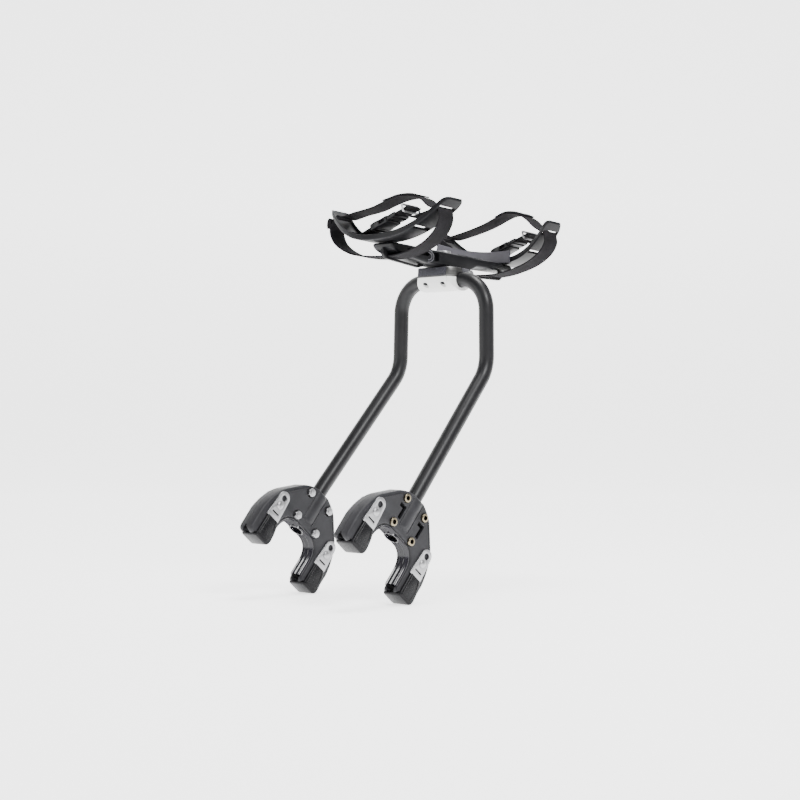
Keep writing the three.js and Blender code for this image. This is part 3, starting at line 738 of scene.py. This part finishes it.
# A fine bead just inside the outer edge of the shell, above the tips, and one along
# each side of the ridge.
def bead_mesh(way):
    outline = both_sides(half_outline(LINER_THICK))
    edge = [Vector((x, y, way * (PLATE_HALF + 0.05))) for x, y in inset(outline, 4.2)]
    right = [point for point in edge if point.x > 16 and point.y > 16 and point.xy.length > 62]
    parts = []
    for sign in (-1, 1):
        line = [Vector((sign * point.x, point.y, point.z)) for point in right]
        parts.append(wire(spaced(line, 2), 0.5, 10))
        side = [Vector((sign * 8.9, y, way * 11.6)) for y in range(43, 84, 4)]
        parts.append(wire(side, 0.6, 10))
    return gathered(*parts)


def inset(outline, depth):
    count = len(outline)
    result = []
    for i, (x, y) in enumerate(outline):
        along = Vector(outline[(i + 1) % count]) - Vector(outline[i - 1])
        normal = Vector((along.y, -along.x)).normalized()
        result.append((x + normal.x * depth, y + normal.y * depth))
    return result


# A narrow line sunk into the shell's face, parallel to its outer edge.
def groove(across, way):
    path = [Vector((across * x, y, way * PLATE_HALF)) for x, y in (
        (16, 80), (28.5, 74), (48.6, 53), (56, 44),
    )]
    return wire(spaced(spline(path), 2), 0.45, 8)


# The ribbed liner, swept round the throat from one tip to the other.
def liner_mesh():
    inner = half_outline(0)
    start = next(i for i, point in enumerate(inner) if point[1] == THROAT_STRAIGHT)
    line = [Vector((x, y, 0)) for x, y in both_sides_open(inner[start:])]
    toe = Vector((THROAT_HALF, TIP + TIP_ROUND, 0))
    line = [toe] + line + [Vector((-toe.x, toe.y, 0))]
    line = spaced(line, 2.0)
    rings = []
    for middle, along in zip(line, directions(line)):
        inward = Vector((-along.y, along.x, 0))
        if inward.dot(Vector((0, 4, 0)) - middle) < 0:
            inward = -inward
        ring = []
        for k in range(65):
            z = -LINER_HALF + 2 * LINER_HALF * k / 64
            crown = 1.8 * math.sqrt(max(0.0, 1 - (z / 9.8) ** 2)) - 2.2
            rib = max(
                RIB_RISE * math.exp(-(((z - at) / RIB_SPREAD) ** 2)) for at in RIB_PLACES
            )
            ring.append(middle + inward * (crown + rib) + Vector((0, 0, z)))
        ring.append(middle - inward * 2.8 + Vector((0, 0, LINER_HALF)))
        ring.append(middle - inward * 2.8 + Vector((0, 0, -LINER_HALF)))
        rings.append(ring)
    hole = along_y(rod(TUBE_RADIUS - 1.5, THROAT_BASE - 12, THROAT_BASE + 20, sides=56))
    lip = along_y(rod(TUBE_RADIUS + 0.3, THROAT_BASE - 12, THROAT_BASE + 0.6, sides=56))
    return gathered(cut(skin(rings), hole.copy()), lip_ring(lip, hole))


# The moulded collar round the mouth of the tube, level with the tops of the ribs.
def lip_ring(outside, bore):
    collar = cut(outside, bore)
    return common(collar, block(-40, 40, THROAT_BASE - 1.2, THROAT_BASE + 0.6, -9.4, 9.4))


def both_sides_open(half):
    return half + [(-x, y) for x, y in half[-2::-1]]


def claw_bolt_mesh():
    head = rod(5.05, SEAT_FACE + GAP, SEAT_FACE + 4.4, edge=0.6)
    return cut(head, rod(3.3, SEAT_FACE + 1.4, SEAT_FACE + 9, sides=6))


def claw_nut_mesh():
    shank = rod(2.9, -SEAT_FACE - 6.3, SEAT_FACE + 1, edge=0.5, sides=32)
    return gathered(shank, nut_mesh(-SEAT_FACE - 5, -SEAT_FACE - GAP))


def nut_mesh(low, high, radius=5.6):
    hexagon = rod(radius, low, high, sides=6)
    return common(hexagon, rod(radius - 0.1, low, high, edge=0.7))


def link_mesh(low):
    foot, shoulder = BOOT_TOP - 2, BOOT_TOP + 3
    turn = [math.pi * i / 20 for i in range(21)]
    line = [(-LINK_HALF, foot), (LINK_HALF, foot), (LINK_HALF, shoulder)]
    line += [(8.5 * math.cos(a), LINK_EYE + 8.5 * math.sin(a)) for a in turn]
    line += [(-LINK_HALF, shoulder)]
    slit = [(-6, 18), (-6, 20), (6, 20), (6, 18)]
    holes = (circle(4, y=LINK_EYE)[::-1], slit)
    return slab(line, low, low + LINK_THICK, 0.35, holes)


def rivet_mesh():
    face = PLATE_HALF + 2.8
    turn = [math.pi / 2 * i / 6 for i in range(7)]
    dome = [(5.1 * math.cos(a), face + 2.3 * math.sin(a)) for a in turn]
    profile = [(0, -dome[-1][1])] + [(r, -z) for r, z in dome[::-1]] + dome + [(0, dome[-1][1])]
    return lathe(profile, 36)


def boot_mesh():
    line = [(BOOT_REAR, BOOT_TOP), (10, BOOT_TOP)]
    line += bend(line[-1], (16, 6), (17, -12), 10)
    line += bend(line[-1], (16.5, BOOT_END), (11, BOOT_END), 4)
    line += [(BOOT_REAR + 3, BOOT_END)]
    line += bend(line[-1], (BOOT_REAR, BOOT_END), (BOOT_REAR, BOOT_END + 3), 4)
    shoe = slab(line, -BOOT_HALF + 0.4, BOOT_HALF - 0.4, 2.8)
    panel = [(BOOT_REAR + 3.4, BOOT_TOP - 3), (8.5, BOOT_TOP - 3)]
    panel += bend(panel[-1], (13, 4), (13.4, -11), 8)
    panel += [(9, BOOT_END + 4), (BOOT_REAR + 3.4, BOOT_END + 4)]
    shoe = added(shoe, slab(panel, -BOOT_HALF, BOOT_HALF, 0.45))
    half = PLATE_HALF + GAP
    room = block(-30, 30, TIP_UNDER_BOOT - BOOT_ROOM, 40, -half, half)
    shoe = cut(shoe, room)
    beads = []
    for face in (-1, 1):
        z = face * (BOOT_HALF - 0.1)
        for x0, x1, bulge in ((BOOT_REAR + 3, BOOT_REAR + 3, 0), (6.5, 9.5, 3)):
            middle = (x0 + x1) / 2 + bulge
            ends = ((x0, BOOT_TOP - 2), (middle, -3), (x1, BOOT_END + 4.5))
            line = [Vector((x, y, z)) for x, y in ends]
            beads.append(wire(spaced(spline(line), 1.5), 0.6, 10))
    return gathered(shoe, *beads)


def make_claws():
    shells = {"outer": shell_mesh(True), "inner": shell_mesh(False)}
    liner = liner_mesh()
    bolt = claw_bolt_mesh()
    nut = claw_nut_mesh()
    # A black disc of painted shade at the bottom of each bolt's hex socket, and plates of painted
    # shade in the slots, tips and tube mouth.
    socket = rod(3.2, SEAT_FACE + 1.5, SEAT_FACE + 1.6, sides=24)
    inside = shade_mesh()
    rivet = rivet_mesh()
    boot = boot_mesh()
    seat = PLATE_HALF + GAP
    links = {"outer": link_mesh(seat), "inner": link_mesh(-seat - LINK_THICK)}
    for word, place in CLAWS.items():
        for which, shell in shells.items():
            nodes = [f"{word}_{which}_shell"]
            piece(f"{word}_claw_{which}", shell, place, "shell", "frame", nodes, soft=0.5)
        piece(word + "_liner", liner, place, "liner", "frame", [word + "_throat_liner"])
        piece(word + "_inside", inside, place, "shade", "frame")
        for way in (-1, 1):
            piece(f"{word}_bead_{way}", bead_mesh(way), place, "shell", "frame")
        for index in range(4):
            x = BOLT_SPREAD * (-1 if index < 2 else 1)
            y = BOLT_RISE + BOLT_PITCH * (-1 if index % 2 == 0 else 1)
            at = place @ Matrix.Translation((x, y, 0))
            node = word + "_claw_bolt_" + str(index + 1)
            piece(node + "_look", bolt, at, "zinc", "frame", [node])
            piece(node + "_nut", nut, at, "steel", "frame")
            piece(node + "_socket", socket, at, "shade", "frame")
        for level, where in (("upper", -1), ("lower", 1)):
            at = place @ Matrix.Translation((where * LINK_OFFSET, 0, 0))
            stem = word + "_" + level
            body = stem + "_pad"
            for which, link in links.items():
                nodes = [stem + "_" + which + "_link"]
                piece(stem + "_link_" + which, link, at, "steel", body, nodes)
            pin = at @ Matrix.Translation((0, RIVET_RISE, 0))
            piece(stem + "_pin", rivet, pin, "steel", body, [stem + "_rivet"])
            piece(stem + "_shoe", boot, at, "boot", body, [stem + "_boot"], soft=0.4)


# The head's outline seen from above.
def head_plan():
    right = [(HEAD_FACE, HEAD_FRONT)]
    right += bend(right[-1], (HEAD_SIDE - 3, HEAD_FRONT + 2), (HEAD_SIDE, -9), 10)
    right += [(HEAD_SIDE, 9)]
    right += bend(right[-1], (HEAD_SIDE - 1.5, 19), (HEAD_FACE, HEAD_REAR), 8)
    return right + [(-x, y) for x, y in right[::-1]]


def make_head():
    bore = along_x(rod(TUBE_RADIUS + 0.5, -60, 60, sides=56))
    plan = head_plan()
    belly = moved(along_x(rod(24, -60, 60, sides=96)), y=1, z=10.5)
    shell = slab(plan, HEAD_BOTTOM - 4, HEAD_SPLIT - GAP, 1.2)
    shell = cut(common(shell, belly), bore.copy())
    for x in (-SCREW_X, SCREW_X):
        for y in (SCREW_FRONT, SCREW_REAR):
            shell = cut(shell, moved(rod(4, -40, -4), x, y))
        seam = block(-0.25, 0.25, -3, 3, -40, 40)
        seam.transform(Matrix.Rotation(math.radians(30 if x > 0 else -30), 4, "Z"))
        shell = cut(shell, moved(seam, math.copysign(HEAD_FACE + 1.2, x), HEAD_FRONT + 0.6))
    piece("head_shell", shell, HEAD, "white", "head", ["head_lower_shell"], soft=0.5)
    upper = cut(slab(plan, HEAD_SPLIT, HEAD_TOP, 1.1), bore)
    upper = cut(upper, rod(POST_RADIUS + GAP, 0, 60))
    front = common(upper, block(-60, 60, -60, -GAP, -60, 60))
    front = cut(front, block(-20.5, 20.5, -40, HEAD_FRONT + 1.4, 4.6, 14))
    rear = common(upper, block(-60, 60, GAP, 60, -60, 60))
    for low, high in ((-60, GAP - JAW_REACH), (JAW_REACH - GAP, 60)):
        rear = cut(rear, moved(along_x(rod(5.4, low, high)), y=JAW_BOLT_Y, z=JAW_BOLT_Z))
    piece("head_front", front, HEAD, "alloy", "head", ["head_front_jaw"], soft=0.4)
    piece("head_rear", rear, HEAD, "jaw", "head", ["head_rear_jaw"], soft=0.5)
    cover = block(-COVER_HALF, COVER_HALF, HEAD_FRONT - 0.5, HEAD_FRONT + 1.1, 3.9, 14.4, 0.6)
    piece("head_cover", cover, HEAD, "badge", "head", ["head_front_badge"])
    screw = cut(rod(3.6, -6.5, -4.3, edge=0.5), rod(1.6, -9, -5.2, sides=6))
    for index, x in enumerate((-SCREW_X, SCREW_X)):
        at = HEAD @ Matrix.Translation((x, SCREW_FRONT, 0))
        piece(f"head_cap_{index}", screw, at, "buckle", "head", [f"head_screw_{index + 1}"])
        at = HEAD @ Matrix.Translation((x, SCREW_REAR, 0))
        piece(f"head_rear_cap_{index}", screw, at, "buckle", "head")
    shank = along_x(rod(2.5, -JAW_REACH - 5, JAW_REACH + 1, sides=24))
    cap = along_x(nut_mesh(JAW_REACH + 0.6, JAW_REACH + 4, 4.9))
    nut = along_x(nut_mesh(-JAW_REACH - 4, -JAW_REACH - 0.6, 4.9))
    at = HEAD @ Matrix.Translation((0, JAW_BOLT_Y, JAW_BOLT_Z))
    piece("head_bolt", gathered(shank, cap, nut), at, "steel", "head", ["jaw_bolt"])
    knob = moved(along_y(rod(4.2, HEAD_REAR, HEAD_REAR + 7, edge=1.2)), x=12, z=9.6)
    piece("head_knob", knob, HEAD, "buckle", "head")
    # A white upright strip at the rear corner of the head, painted in as a highlight.
    strip = block(24.4, 26.4, 22.6, 25.6, HEAD_SPLIT + GAP, HEAD_TOP - 0.4, 0.5)
    piece("head_highlight_strip", strip, HEAD, "white", "head")
    post = rod(POST_RADIUS, 10.2, KEEL_TOP - 9, edge=0.5)
    piece("head_post", post, HEAD, "alloy", "head", ["swivel_post"])
    screw = rod(8, KEEL_TOP + GAP, KEEL_TOP + 4, edge=0.9)
    screw = cut(screw, rod(3, KEEL_TOP + 1.8, 60, sides=6))
    piece("swivel_cap", screw, HEAD, "steel", "head", ["swivel_screw"])


# ---- cradle ----
# The height of an arm's underside, and the distance of its middle line from the head.
def arm_rise(x):
    return PLATE_BOTTOM + ARM_RISE * abs(x / ARM_SPAN) ** 2.4


def arm_middle(x):
    return ARM_OFFSET + ARM_BULGE * (1 - (x / ARM_SPAN) ** 2)


# The closed outline with each corner rounded by its own radius.
def round_corners(points, radii, steps=4):
    line = []
    count = len(points)
    for i, (point, radius) in enumerate(zip(points, radii)):
        corner = Vector(point)
        before = Vector(points[i - 1])
        after = Vector(points[(i + 1) % count])
        start = corner + (before - corner).normalized() * radius
        end = corner + (after - corner).normalized() * radius
        line.append(start)
        line += [Vector(p) for p in bend(start, corner, end, steps)]
    return line


# The section swept from tip to tip, narrower and with lower rims near each end.
def sweep_arm(section, way):
    rings = []
    for i in range(ARM_SPAN + 1):
        x = -ARM_SPAN + 2 * ARM_SPAN * i / ARM_SPAN
        near = max(0.0, (abs(x) - ARM_SPAN + ARM_TAPER) / ARM_TAPER)
        narrow = 1 - 0.35 * (1 - math.sqrt(max(0.0, 1 - near**2)))
        rings.append([
            Vector((x, way * (arm_middle(x) + p.x * narrow), arm_rise(x) + low_rim(p.y, near)))
            for p in section
        ])
    return skin(rings)


# The rims run out to nothing at the rounded tips.
def low_rim(height, near):
    return min(height, FLOOR) + max(0.0, height - FLOOR) * (1 - near**2)


def make_arm(way, word):
    half = ARM_HALF_WIDTH
    corners = [
        (-half, 0), (half, 0), (half, RIM_HEIGHT), (half - RIM, RIM_HEIGHT), (half - RIM, FLOOR),
        (RIM - half, FLOOR), (RIM - half, RIM_HEIGHT), (-half, RIM_HEIGHT),
    ]
    section = round_corners(corners, [1.6, 1.6, 1.1, 1.1, 1.2, 1.2, 1.1, 1.1])
    arm = sweep_arm(section, way)
    for end in (-1, 1):
        for near, far in ARM_SLOTS:
            middle = way * arm_middle((near + far) / 2)
            front, rear = middle - ARM_SLOT_HALF, middle + ARM_SLOT_HALF
            low, high = sorted((end * near, end * far))
            arm = cut(arm, block(low, high, front, rear, 30, 100))
    piece(word + "_arm_look", arm, HEAD, "cradle", "cradle", [word + "_arm"])
    for x in (-ARM_SCREW_X, ARM_SCREW_X):
        head = rod(3.6, 0, 2.0, edge=0.8)
        head = cut(head, rod(1.5, 1.0, 5, sides=6))
        at = HEAD @ Matrix.Translation((x, way * ARM_SCREW_Y, PLATE_BOTTOM + FLOOR))
        piece(f"{word}_arm_screw_{x}", head, at, "steel", "cradle")


# Stands a plate that was drawn in y and z upright, with its thickness along x.
def upright(mesh):
    mesh.transform(Matrix(((0, 0, 1, 0), (1, 0, 0, 0), (0, 1, 0, 0), (0, 0, 0, 1))))
    return mesh


# The keel, with its side pockets, the rail under each end and the raised pad on top.
def make_keel():
    side = [(-104, KEEL_TOP), (104, KEEL_TOP)]
    side += bend(side[-1], (112, KEEL_TOP), (112, 28), 5)
    side += [(110, 25.5), (44, 23), (30, KEEL_BOTTOM), (-48, KEEL_BOTTOM), (-88, 20.5)]
    side += bend(side[-1], (-110, 23.5), (-112, 31), 6)
    side += bend(side[-1], (-112, KEEL_TOP), (-104, KEEL_TOP), 5)[:-1]
    keel = upright(slab(side[::-1], -KEEL_HALF_WIDTH, KEEL_HALF_WIDTH, 2.6))
    for sign in (-1, 1):
        low, high = sorted((sign * POCKET_FLOOR, sign * 40))
        for y0, y1, z0, z1 in ((-84, -44, 24.5, 30), (-38, -27, 20, 31)):
            keel = cut(keel, block(low, high, y0, y1, z0, z1, 2.5))
    keel = cut(keel, rod(POST_RADIUS + GAP, 0, KEEL_TOP - 8.7), rod(3.4, 0, 60, sides=32))
    keel = cut(keel, block(-20, 20, 93, 97.4, PLATE_BOTTOM - 3.4, 40))
    rail = [
        (40, 24), (40, 13.1), (48, 10.8), (105, 14.2), (111, 20), (111, 26), (104, 26),
        (104, 16.6), (96, 16.6), (48, 13), (44, 17), (44, 24),
    ]
    for way in (-1, 1):
        strip = slab([(way * y, z) for y, z in rail][::way], -2.5, 2.5, 0.5)
        keel = added(keel, upright(strip))
    foot, top = KEEL_TOP - 1.5, KEEL_TOP + PAD_RISE
    keel = added(keel, block(-PAD_HALF, PAD_HALF, PAD_START, PAD_END, foot, top, 0.4))
    piece("keel_look", keel, HEAD, "cradle", "cradle", ["keel"], soft=0.4)
    # Two thin arcs on each side of the keel near the head, in the lighter grey of the jaw: a
    # painted highlight along edges of the black keel.
    for sign in (-1, 1):
        for radius in (6.5, 10):
            turn = [math.pi * (k / 16 - 0.5) for k in range(17)]
            round_line = [(radius * math.cos(a), 0.72 * radius * math.sin(a)) for a in turn]
            arc = [Vector((sign * KEEL_HALF_WIDTH, -47 + y, 24.5 + z)) for y, z in round_line]
            piece(f"keel_highlight_rim_{sign}_{radius}", wire(arc, 0.7, 12), HEAD, "jaw", "cradle")


# The grey wall on the rear arm's front side: nearly level, and rising to the left.
def make_wall():
    near = -ARM_HALF_WIDTH - GAP
    far = near - WALL_THICK
    rings = []
    for i in range(63):
        x = WALL_LEFT + (WALL_RIGHT - WALL_LEFT) * i / 62
        lift = (max(0, -x) / -WALL_LEFT) ** 2
        low, high = 35 + 15 * lift, 51 + 14 * lift
        corners = [(far, low), (near, low), (near, high), (far, high)]
        section = round_corners(corners, [0.9, 0.9, 1.1, 1.1])
        rings.append([Vector((x, arm_middle(x) + p.x, p.y)) for p in section])
    piece("wall_look", skin(rings), HEAD, "wall", "cradle", ["rear_side_wall"])


# ---- webbing ----
# A woven strip whose width lies along Y; its UV runs in metres along and across it.
def band(points, width=WEB_WIDTH, thick=WEB_THICK):
    line = spaced(spline(points), 1.2)
    half = width / 2
    section = [
        (-half, 0), (-half + 0.35, 0.48), (-half + 1.6, 0.5), (-half + 2.2, 0.42), (0, 0.45),
        (half - 2.2, 0.42), (half - 1.6, 0.5), (half - 0.35, 0.48), (half, 0),
        (half - 0.35, -0.48), (half - 1.6, -0.5), (0, -0.45), (-half + 1.6, -0.5),
        (-half + 0.35, -0.48),
    ]
    rings = []
    for middle, along in zip(line, directions(line)):
        normal = Vector((-along.z, 0, along.x)).normalized()
        rings.append([middle + normal * (v * thick) + Vector((0, u, 0)) for u, v in section])
    corners = [corner for ring in rings for corner in ring]
    count = len(section)
    faces = [tuple(range(count - 1, -1, -1)), tuple(range(len(corners) - count, len(corners)))]
    mesh = mesh_of(corners, faces + side_faces(len(rings), count))
    layer = mesh.uv_layers.new(name="weave")
    step = (line[1] - line[0]).length
    for loop in mesh.loops:
        row, column = divmod(loop.vertex_index, count)
        layer.data[loop.index].uv = (row * step * MM, section[column][0] * MM)
    return mesh, line


# The corners of one stitch: along the strip, across it and out of its face.
STITCH = ((-0.55, 0, 0), (0, -0.22, 0), (0, 0, 0.2), (0, 0.22, 0), (0, 0, -0.2), (0.55, 0, 0))


# Short thread stitches laid on both faces of a strip, in a box with a cross.
def stitch_rows(line, start, end, width, thick):
    across = width / 2 - 2.4
    stitches = []
    tangents = directions(line)
    rows = range(start, end)
    for k, row in enumerate(rows):
        cross = -across + 2 * across * k / max(1, len(rows) - 1)
        places = [-across, across, cross, -cross]
        if row in (start, end - 1):
            places += [across * (i / 5) for i in range(-4, 5)]
        along = tangents[row]
        normal = Vector((-along.z, 0, along.x)).normalized()
        for y in places:
            for face in (-1, 1):
                centre = line[row] + Vector((0, y, 0)) + normal * face * (thick / 2 + 0.1)
                stitches.append((centre, along, normal))
    points = []
    faces = []
    for centre, along, normal in stitches:
        base = len(points)
        for a, b, c in STITCH:
            points.append(centre + along * a + Vector((0, b, 0)) + normal * c)
        for i in range(4):
            faces.append((base, base + 1 + i, base + 1 + (i + 1) % 4))
            faces.append((base + 5, base + 1 + (i + 1) % 4, base + 1 + i))
    return mesh_of(points, faces)


# One strip of webbing in place of its node, with a box of stitches on each sewn
# stretch, which is given as shares of the strip's length.
def strap(name, points, body, node, width=WEB_WIDTH, thick=WEB_THICK, sewn=()):
    mesh, line = band(points, width, thick)
    piece(name, mesh, HEAD, "webbing", body, [node] if node else (), angle=60)
    last = len(line) - 1
    for index, (start, end) in enumerate(sewn):
        threads = stitch_rows(line, round(start * last), round(end * last), width, thick)
        piece(f"{name}_stitches_{index}", threads, HEAD, "thread", body, angle=60)


# Points of a strap in x and z, set on the line that runs from middle, over the head,
# to STRAP_Y at the arm's tips.
def route(places, way, middle=STRAP_Y):
    return [
        Vector((x, way * (middle + (STRAP_Y - middle) * (x / STRAP_TIP) ** 2), z))
        for x, z in places
    ]


# The x and z of a point on the buckle's slanting line.
def chain_point(distance):
    x = CHAIN_X + math.cos(CHAIN_ANGLE) * distance
    return x, CHAIN_Z + math.sin(CHAIN_ANGLE) * distance


def chain_line(way, distances):
    return [Vector((x, way * CHAIN_Y, z)) for x, z in map(chain_point, distances)]


def chain_frame(way, distance):
    x, z = chain_point(distance)
    turn = Matrix.Rotation(-CHAIN_ANGLE, 4, "Y")
    return HEAD @ Matrix.Translation((x, way * CHAIN_Y, z)) @ turn


def socket_mesh():
    half = [(0, 12), (1, 13), (6, 14)]
    half += bend(half[-1], (14, 14), (17, 12.6), 5)
    half += [(28.5, 12.5), (30, 11.5)]
    outline = [(x, -y) for x, y in half] + half[::-1]
    body = slab(outline, -4, 4, 1.3)
    body = cut(body, block(12, 40, -10.3, 10.3, -2.3, 2.3), block(3, 6, -11.5, 11.5, -9, 9))
    for side in (-1, 1):
        low, high = sorted((side * 9.6, side * 20))
        body = cut(body, block(16, 25, low, high, -2.3, 2.3))
    body = cut(body, block(9, 10.2, -9, 9, 3.4, 9), block(9, 10.2, -9, 9, -9, -3.4))
    return body


def tongue_mesh():
    left = block(14, 34, -9.8, -4.5, -1.8, 1.8, 0.6)
    right = block(14, 34, 4.5, 9.8, -1.8, 1.8, 0.6)
    bridge = block(26, 34, -6, 6, -1.7, 1.7, 0.5)
    bar = block(30.8, 44, -13, 13, -2.6, 2.6, 1.2)
    return cut(added(left, right, bridge, bar), block(37.5, 41, -11, 11, -9, 9))


# The steel ring's closed line, an oblong 29.2 by 9.2 mm with rounded corners.
def ring_line():
    half, rise = 14.6, 4.6
    corners = [(-half, -rise), (half, -rise), (half, rise), (-half, rise)]
    line = [Vector((0, p.x, p.y)) for p in round_corners(corners, [2.5] * 4, 5)]
    return line + [line[0], line[1]]


def make_buckle(way, word):
    anchor = chain_line(way, (0, 8, 16, CHAIN_LEAD - GAP))
    node = word + "_buckle_strap"
    strap(word + "_buckle_web", anchor, "cradle", node, BUCKLE_WEB, sewn=((0.3, 0.8),))
    at = chain_frame(way, CHAIN_LEAD)
    nodes = [word + "_buckle_socket"]
    piece(word + "_socket", socket_mesh(), at, "buckle", "cradle", nodes, soft=0.4)
    body = word + "_tongue"
    nodes = [word + "_buckle_tongue"]
    piece(word + "_tongue_look", tongue_mesh(), at, "buckle", body, nodes, soft=0.3)
    tail = chain_line(way, [CHAIN_LEAD + d for d in (44.3, 52, 59, 66)])
    node = word + "_tongue_strap"
    strap(word + "_tongue_web", tail, body, node, BUCKLE_WEB, sewn=((0.1, 0.45),))
    ring = moved(wire(ring_line(), 1.3, 16), x=RING_REACH)
    piece(word + "_ring", ring, at, "steel", "cradle", [word + "_strap_ring"])
    foot = chain_point(CHAIN_LEAD + RING_REACH)
    start = (foot[0] + 2.4, foot[1] - 8.4)
    seat = arm_rise(80) + FLOOR + 2.2
    end = arm_rise(TAB_END) + FLOOR + 4
    line = []
    for x, z in (start, (start[0] + 8, start[1] - 2), (71, seat), (TAB_END, end)):
        y = TAB_Y + (CHAIN_Y - TAB_Y) * (TAB_END - x) / TAB_RUN
        line.append(Vector((x, way * y, z)))
    strap(word + "_tab", line, "cradle", word + "_anchor_tab", 20, 2.4, sewn=((0.55, 0.9),))


# The strap that runs under each arm, and the one that closes over it.
def make_straps():
    for way, word, slack in ((-1, "front", 9), (1, "rear", 0)):
        under = [
            (89, 71.5), (91.6, 65), (92.5, 57), (86, 45), (68, 32), (40, 22.5), (14, 18.3),
            (-14, 18.3), (-40, 21 - slack * 0.1), (-66, 28 - slack * 0.3),
            (-90, 43 - slack * 0.4), (-97.5, 54), (-96, 62), (-91.5, 67), (-89, 71.5),
        ]
        strap(word + "_under_web", route(under, way, UNDER_Y), "cradle", word + "_under_strap")
    front = [
        (-87, 73.8), (-80, 71.4), (-56, 75), (-25, 79), (-2, 85), (19, 89), (40, 89), (57, 84.5),
        (74, 73), (84, 71.2),
    ]
    rear = [
        (-87, 75), (-80, 73.6), (-50, 78), (-15, 86), (22, 98), (40, 97), (57, 90), (74, 77),
        (84, 71.6),
    ]
    ends = ((0.04, 0.14), (0.86, 0.96))
    strap("front_top_web", route(front, -1), "cradle", "front_top_strap", sewn=ends)
    strap("rear_top_web", route(rear, 1), "cradle", "rear_top_strap", sewn=ends)


# A second layer sewn on top of each top strap where its loose end is caught.
def make_doubles():
    front = [(-6, 86.4), (6, 88.6), (19, 91), (40, 91), (50, 89.2)]
    rear = [(6, 95), (22, 100), (40, 99), (52, 95)]
    strap("front_top_double", route(front, -1), "cradle", None, sewn=((0.08, 0.4), (0.6, 0.92)))
    strap("rear_top_double", route(rear, 1), "cradle", None, sewn=((0.1, 0.45), (0.6, 0.9)))


# The spare end of the front strap, rolled up and tucked in at the tip of the arm.
def make_roll():
    line = []
    for i in range(70):
        turn = 2 * math.pi * i / 26
        radius = 1.4 + 2.15 * turn / (2 * math.pi)
        out, rise = 0.45 * radius * math.cos(turn), radius * math.sin(turn)
        line.append(Vector((-101.5 + out, -STRAP_Y, 64.5 + rise)))
    strap("front_roll", line, "cradle", None)


# ---- studio ----
# A white floor that curves up behind the part, the lamps and the camera.
def make_studio():
    floor = bpy.data.meshes.new("floor")
    ground = LOW.z - 0.0005
    profile = [(-4.0, ground), (2.2, ground)]
    profile += [(2.2 + 0.8 * math.sin(a), ground + 0.8 - 0.8 * math.cos(a)) for a in (
        math.pi / 2 * i / 12 for i in range(1, 13)
    )]
    profile.append((3.0, ground + 4))
    points = [(x, y, z) for y, z in profile for x in (-5.0, 5.0)]
    faces = [(2 * i, 2 * i + 1, 2 * i + 3, 2 * i + 2) for i in range(len(profile) - 1)]
    floor.from_pydata(points, [], faces)
    floor.transform(Matrix.Rotation(math.radians(45), 4, "Z"))
    floor.polygons.foreach_set("use_smooth", [True] * len(floor.polygons))
    sweep = bpy.data.objects.new("floor", floor)
    bpy.context.scene.collection.objects.link(sweep)
    paper = finish("paper", (0.86, 0.86, 0.86), (0.88, 0.88, 0.88), (0.8, 0.9), bump=0, cloud=3)
    glow = paper.node_tree.nodes["Principled BSDF"]
    glow.inputs["Emission Color"].default_value = (1, 1, 1, 1)
    glow.inputs["Emission Strength"].default_value = 2.0
    floor.materials.append(paper)
    world = bpy.data.worlds.new("studio")
    world.use_nodes = True
    sky = world.node_tree.nodes["Background"]
    sky.inputs["Color"].default_value = (1, 1, 1, 1)
    sky.inputs["Strength"].default_value = 0.45
    bpy.context.scene.world = world
    aim = (Vector(LOW) + Vector(HIGH)) / 2
    for name, place, size, power in (
        ("key", (1.9, -0.4, 1.8), 0.9, 60),
        ("fill", (-1.2, -2.0, 1.0), 1.2, 16),
        ("top", (0.1, 0.3, 2.2), 0.9, 50),
    ):
        lamp = bpy.data.lights.new(name, "AREA")
        lamp.shape = "DISK"
        lamp.size = size
        lamp.energy = power
        holder = bpy.data.objects.new(name, lamp)
        holder.location = place
        holder.rotation_euler = (aim - Vector(place)).to_track_quat("-Z", "Y").to_euler()
        bpy.context.scene.collection.objects.link(holder)
    eye = bpy.data.cameras.new("eye")
    eye.lens = CAMERA_LENS
    eye.sensor_width = 36
    camera = bpy.data.objects.new("eye", eye)
    view = Vector((-math.sqrt(0.5), math.sqrt(0.5), 0))
    camera.location = CAMERA_AIM - view * CAMERA_DISTANCE
    camera.rotation_euler = (math.pi / 2, 0, math.radians(45))
    bpy.context.scene.collection.objects.link(camera)
    bpy.context.scene.camera = camera


CLAWS = {"left": claw_frame("left", -1), "right": claw_frame("right", 1)}
HEAD = head_frame()
make_tube()
make_claws()
make_head()
make_keel()
make_wall()
for direction, half_name in ((-1, "front"), (1, "rear")):
    make_arm(direction, half_name)
    make_buckle(direction, half_name)
make_straps()
make_doubles()
make_roll()
make_studio()
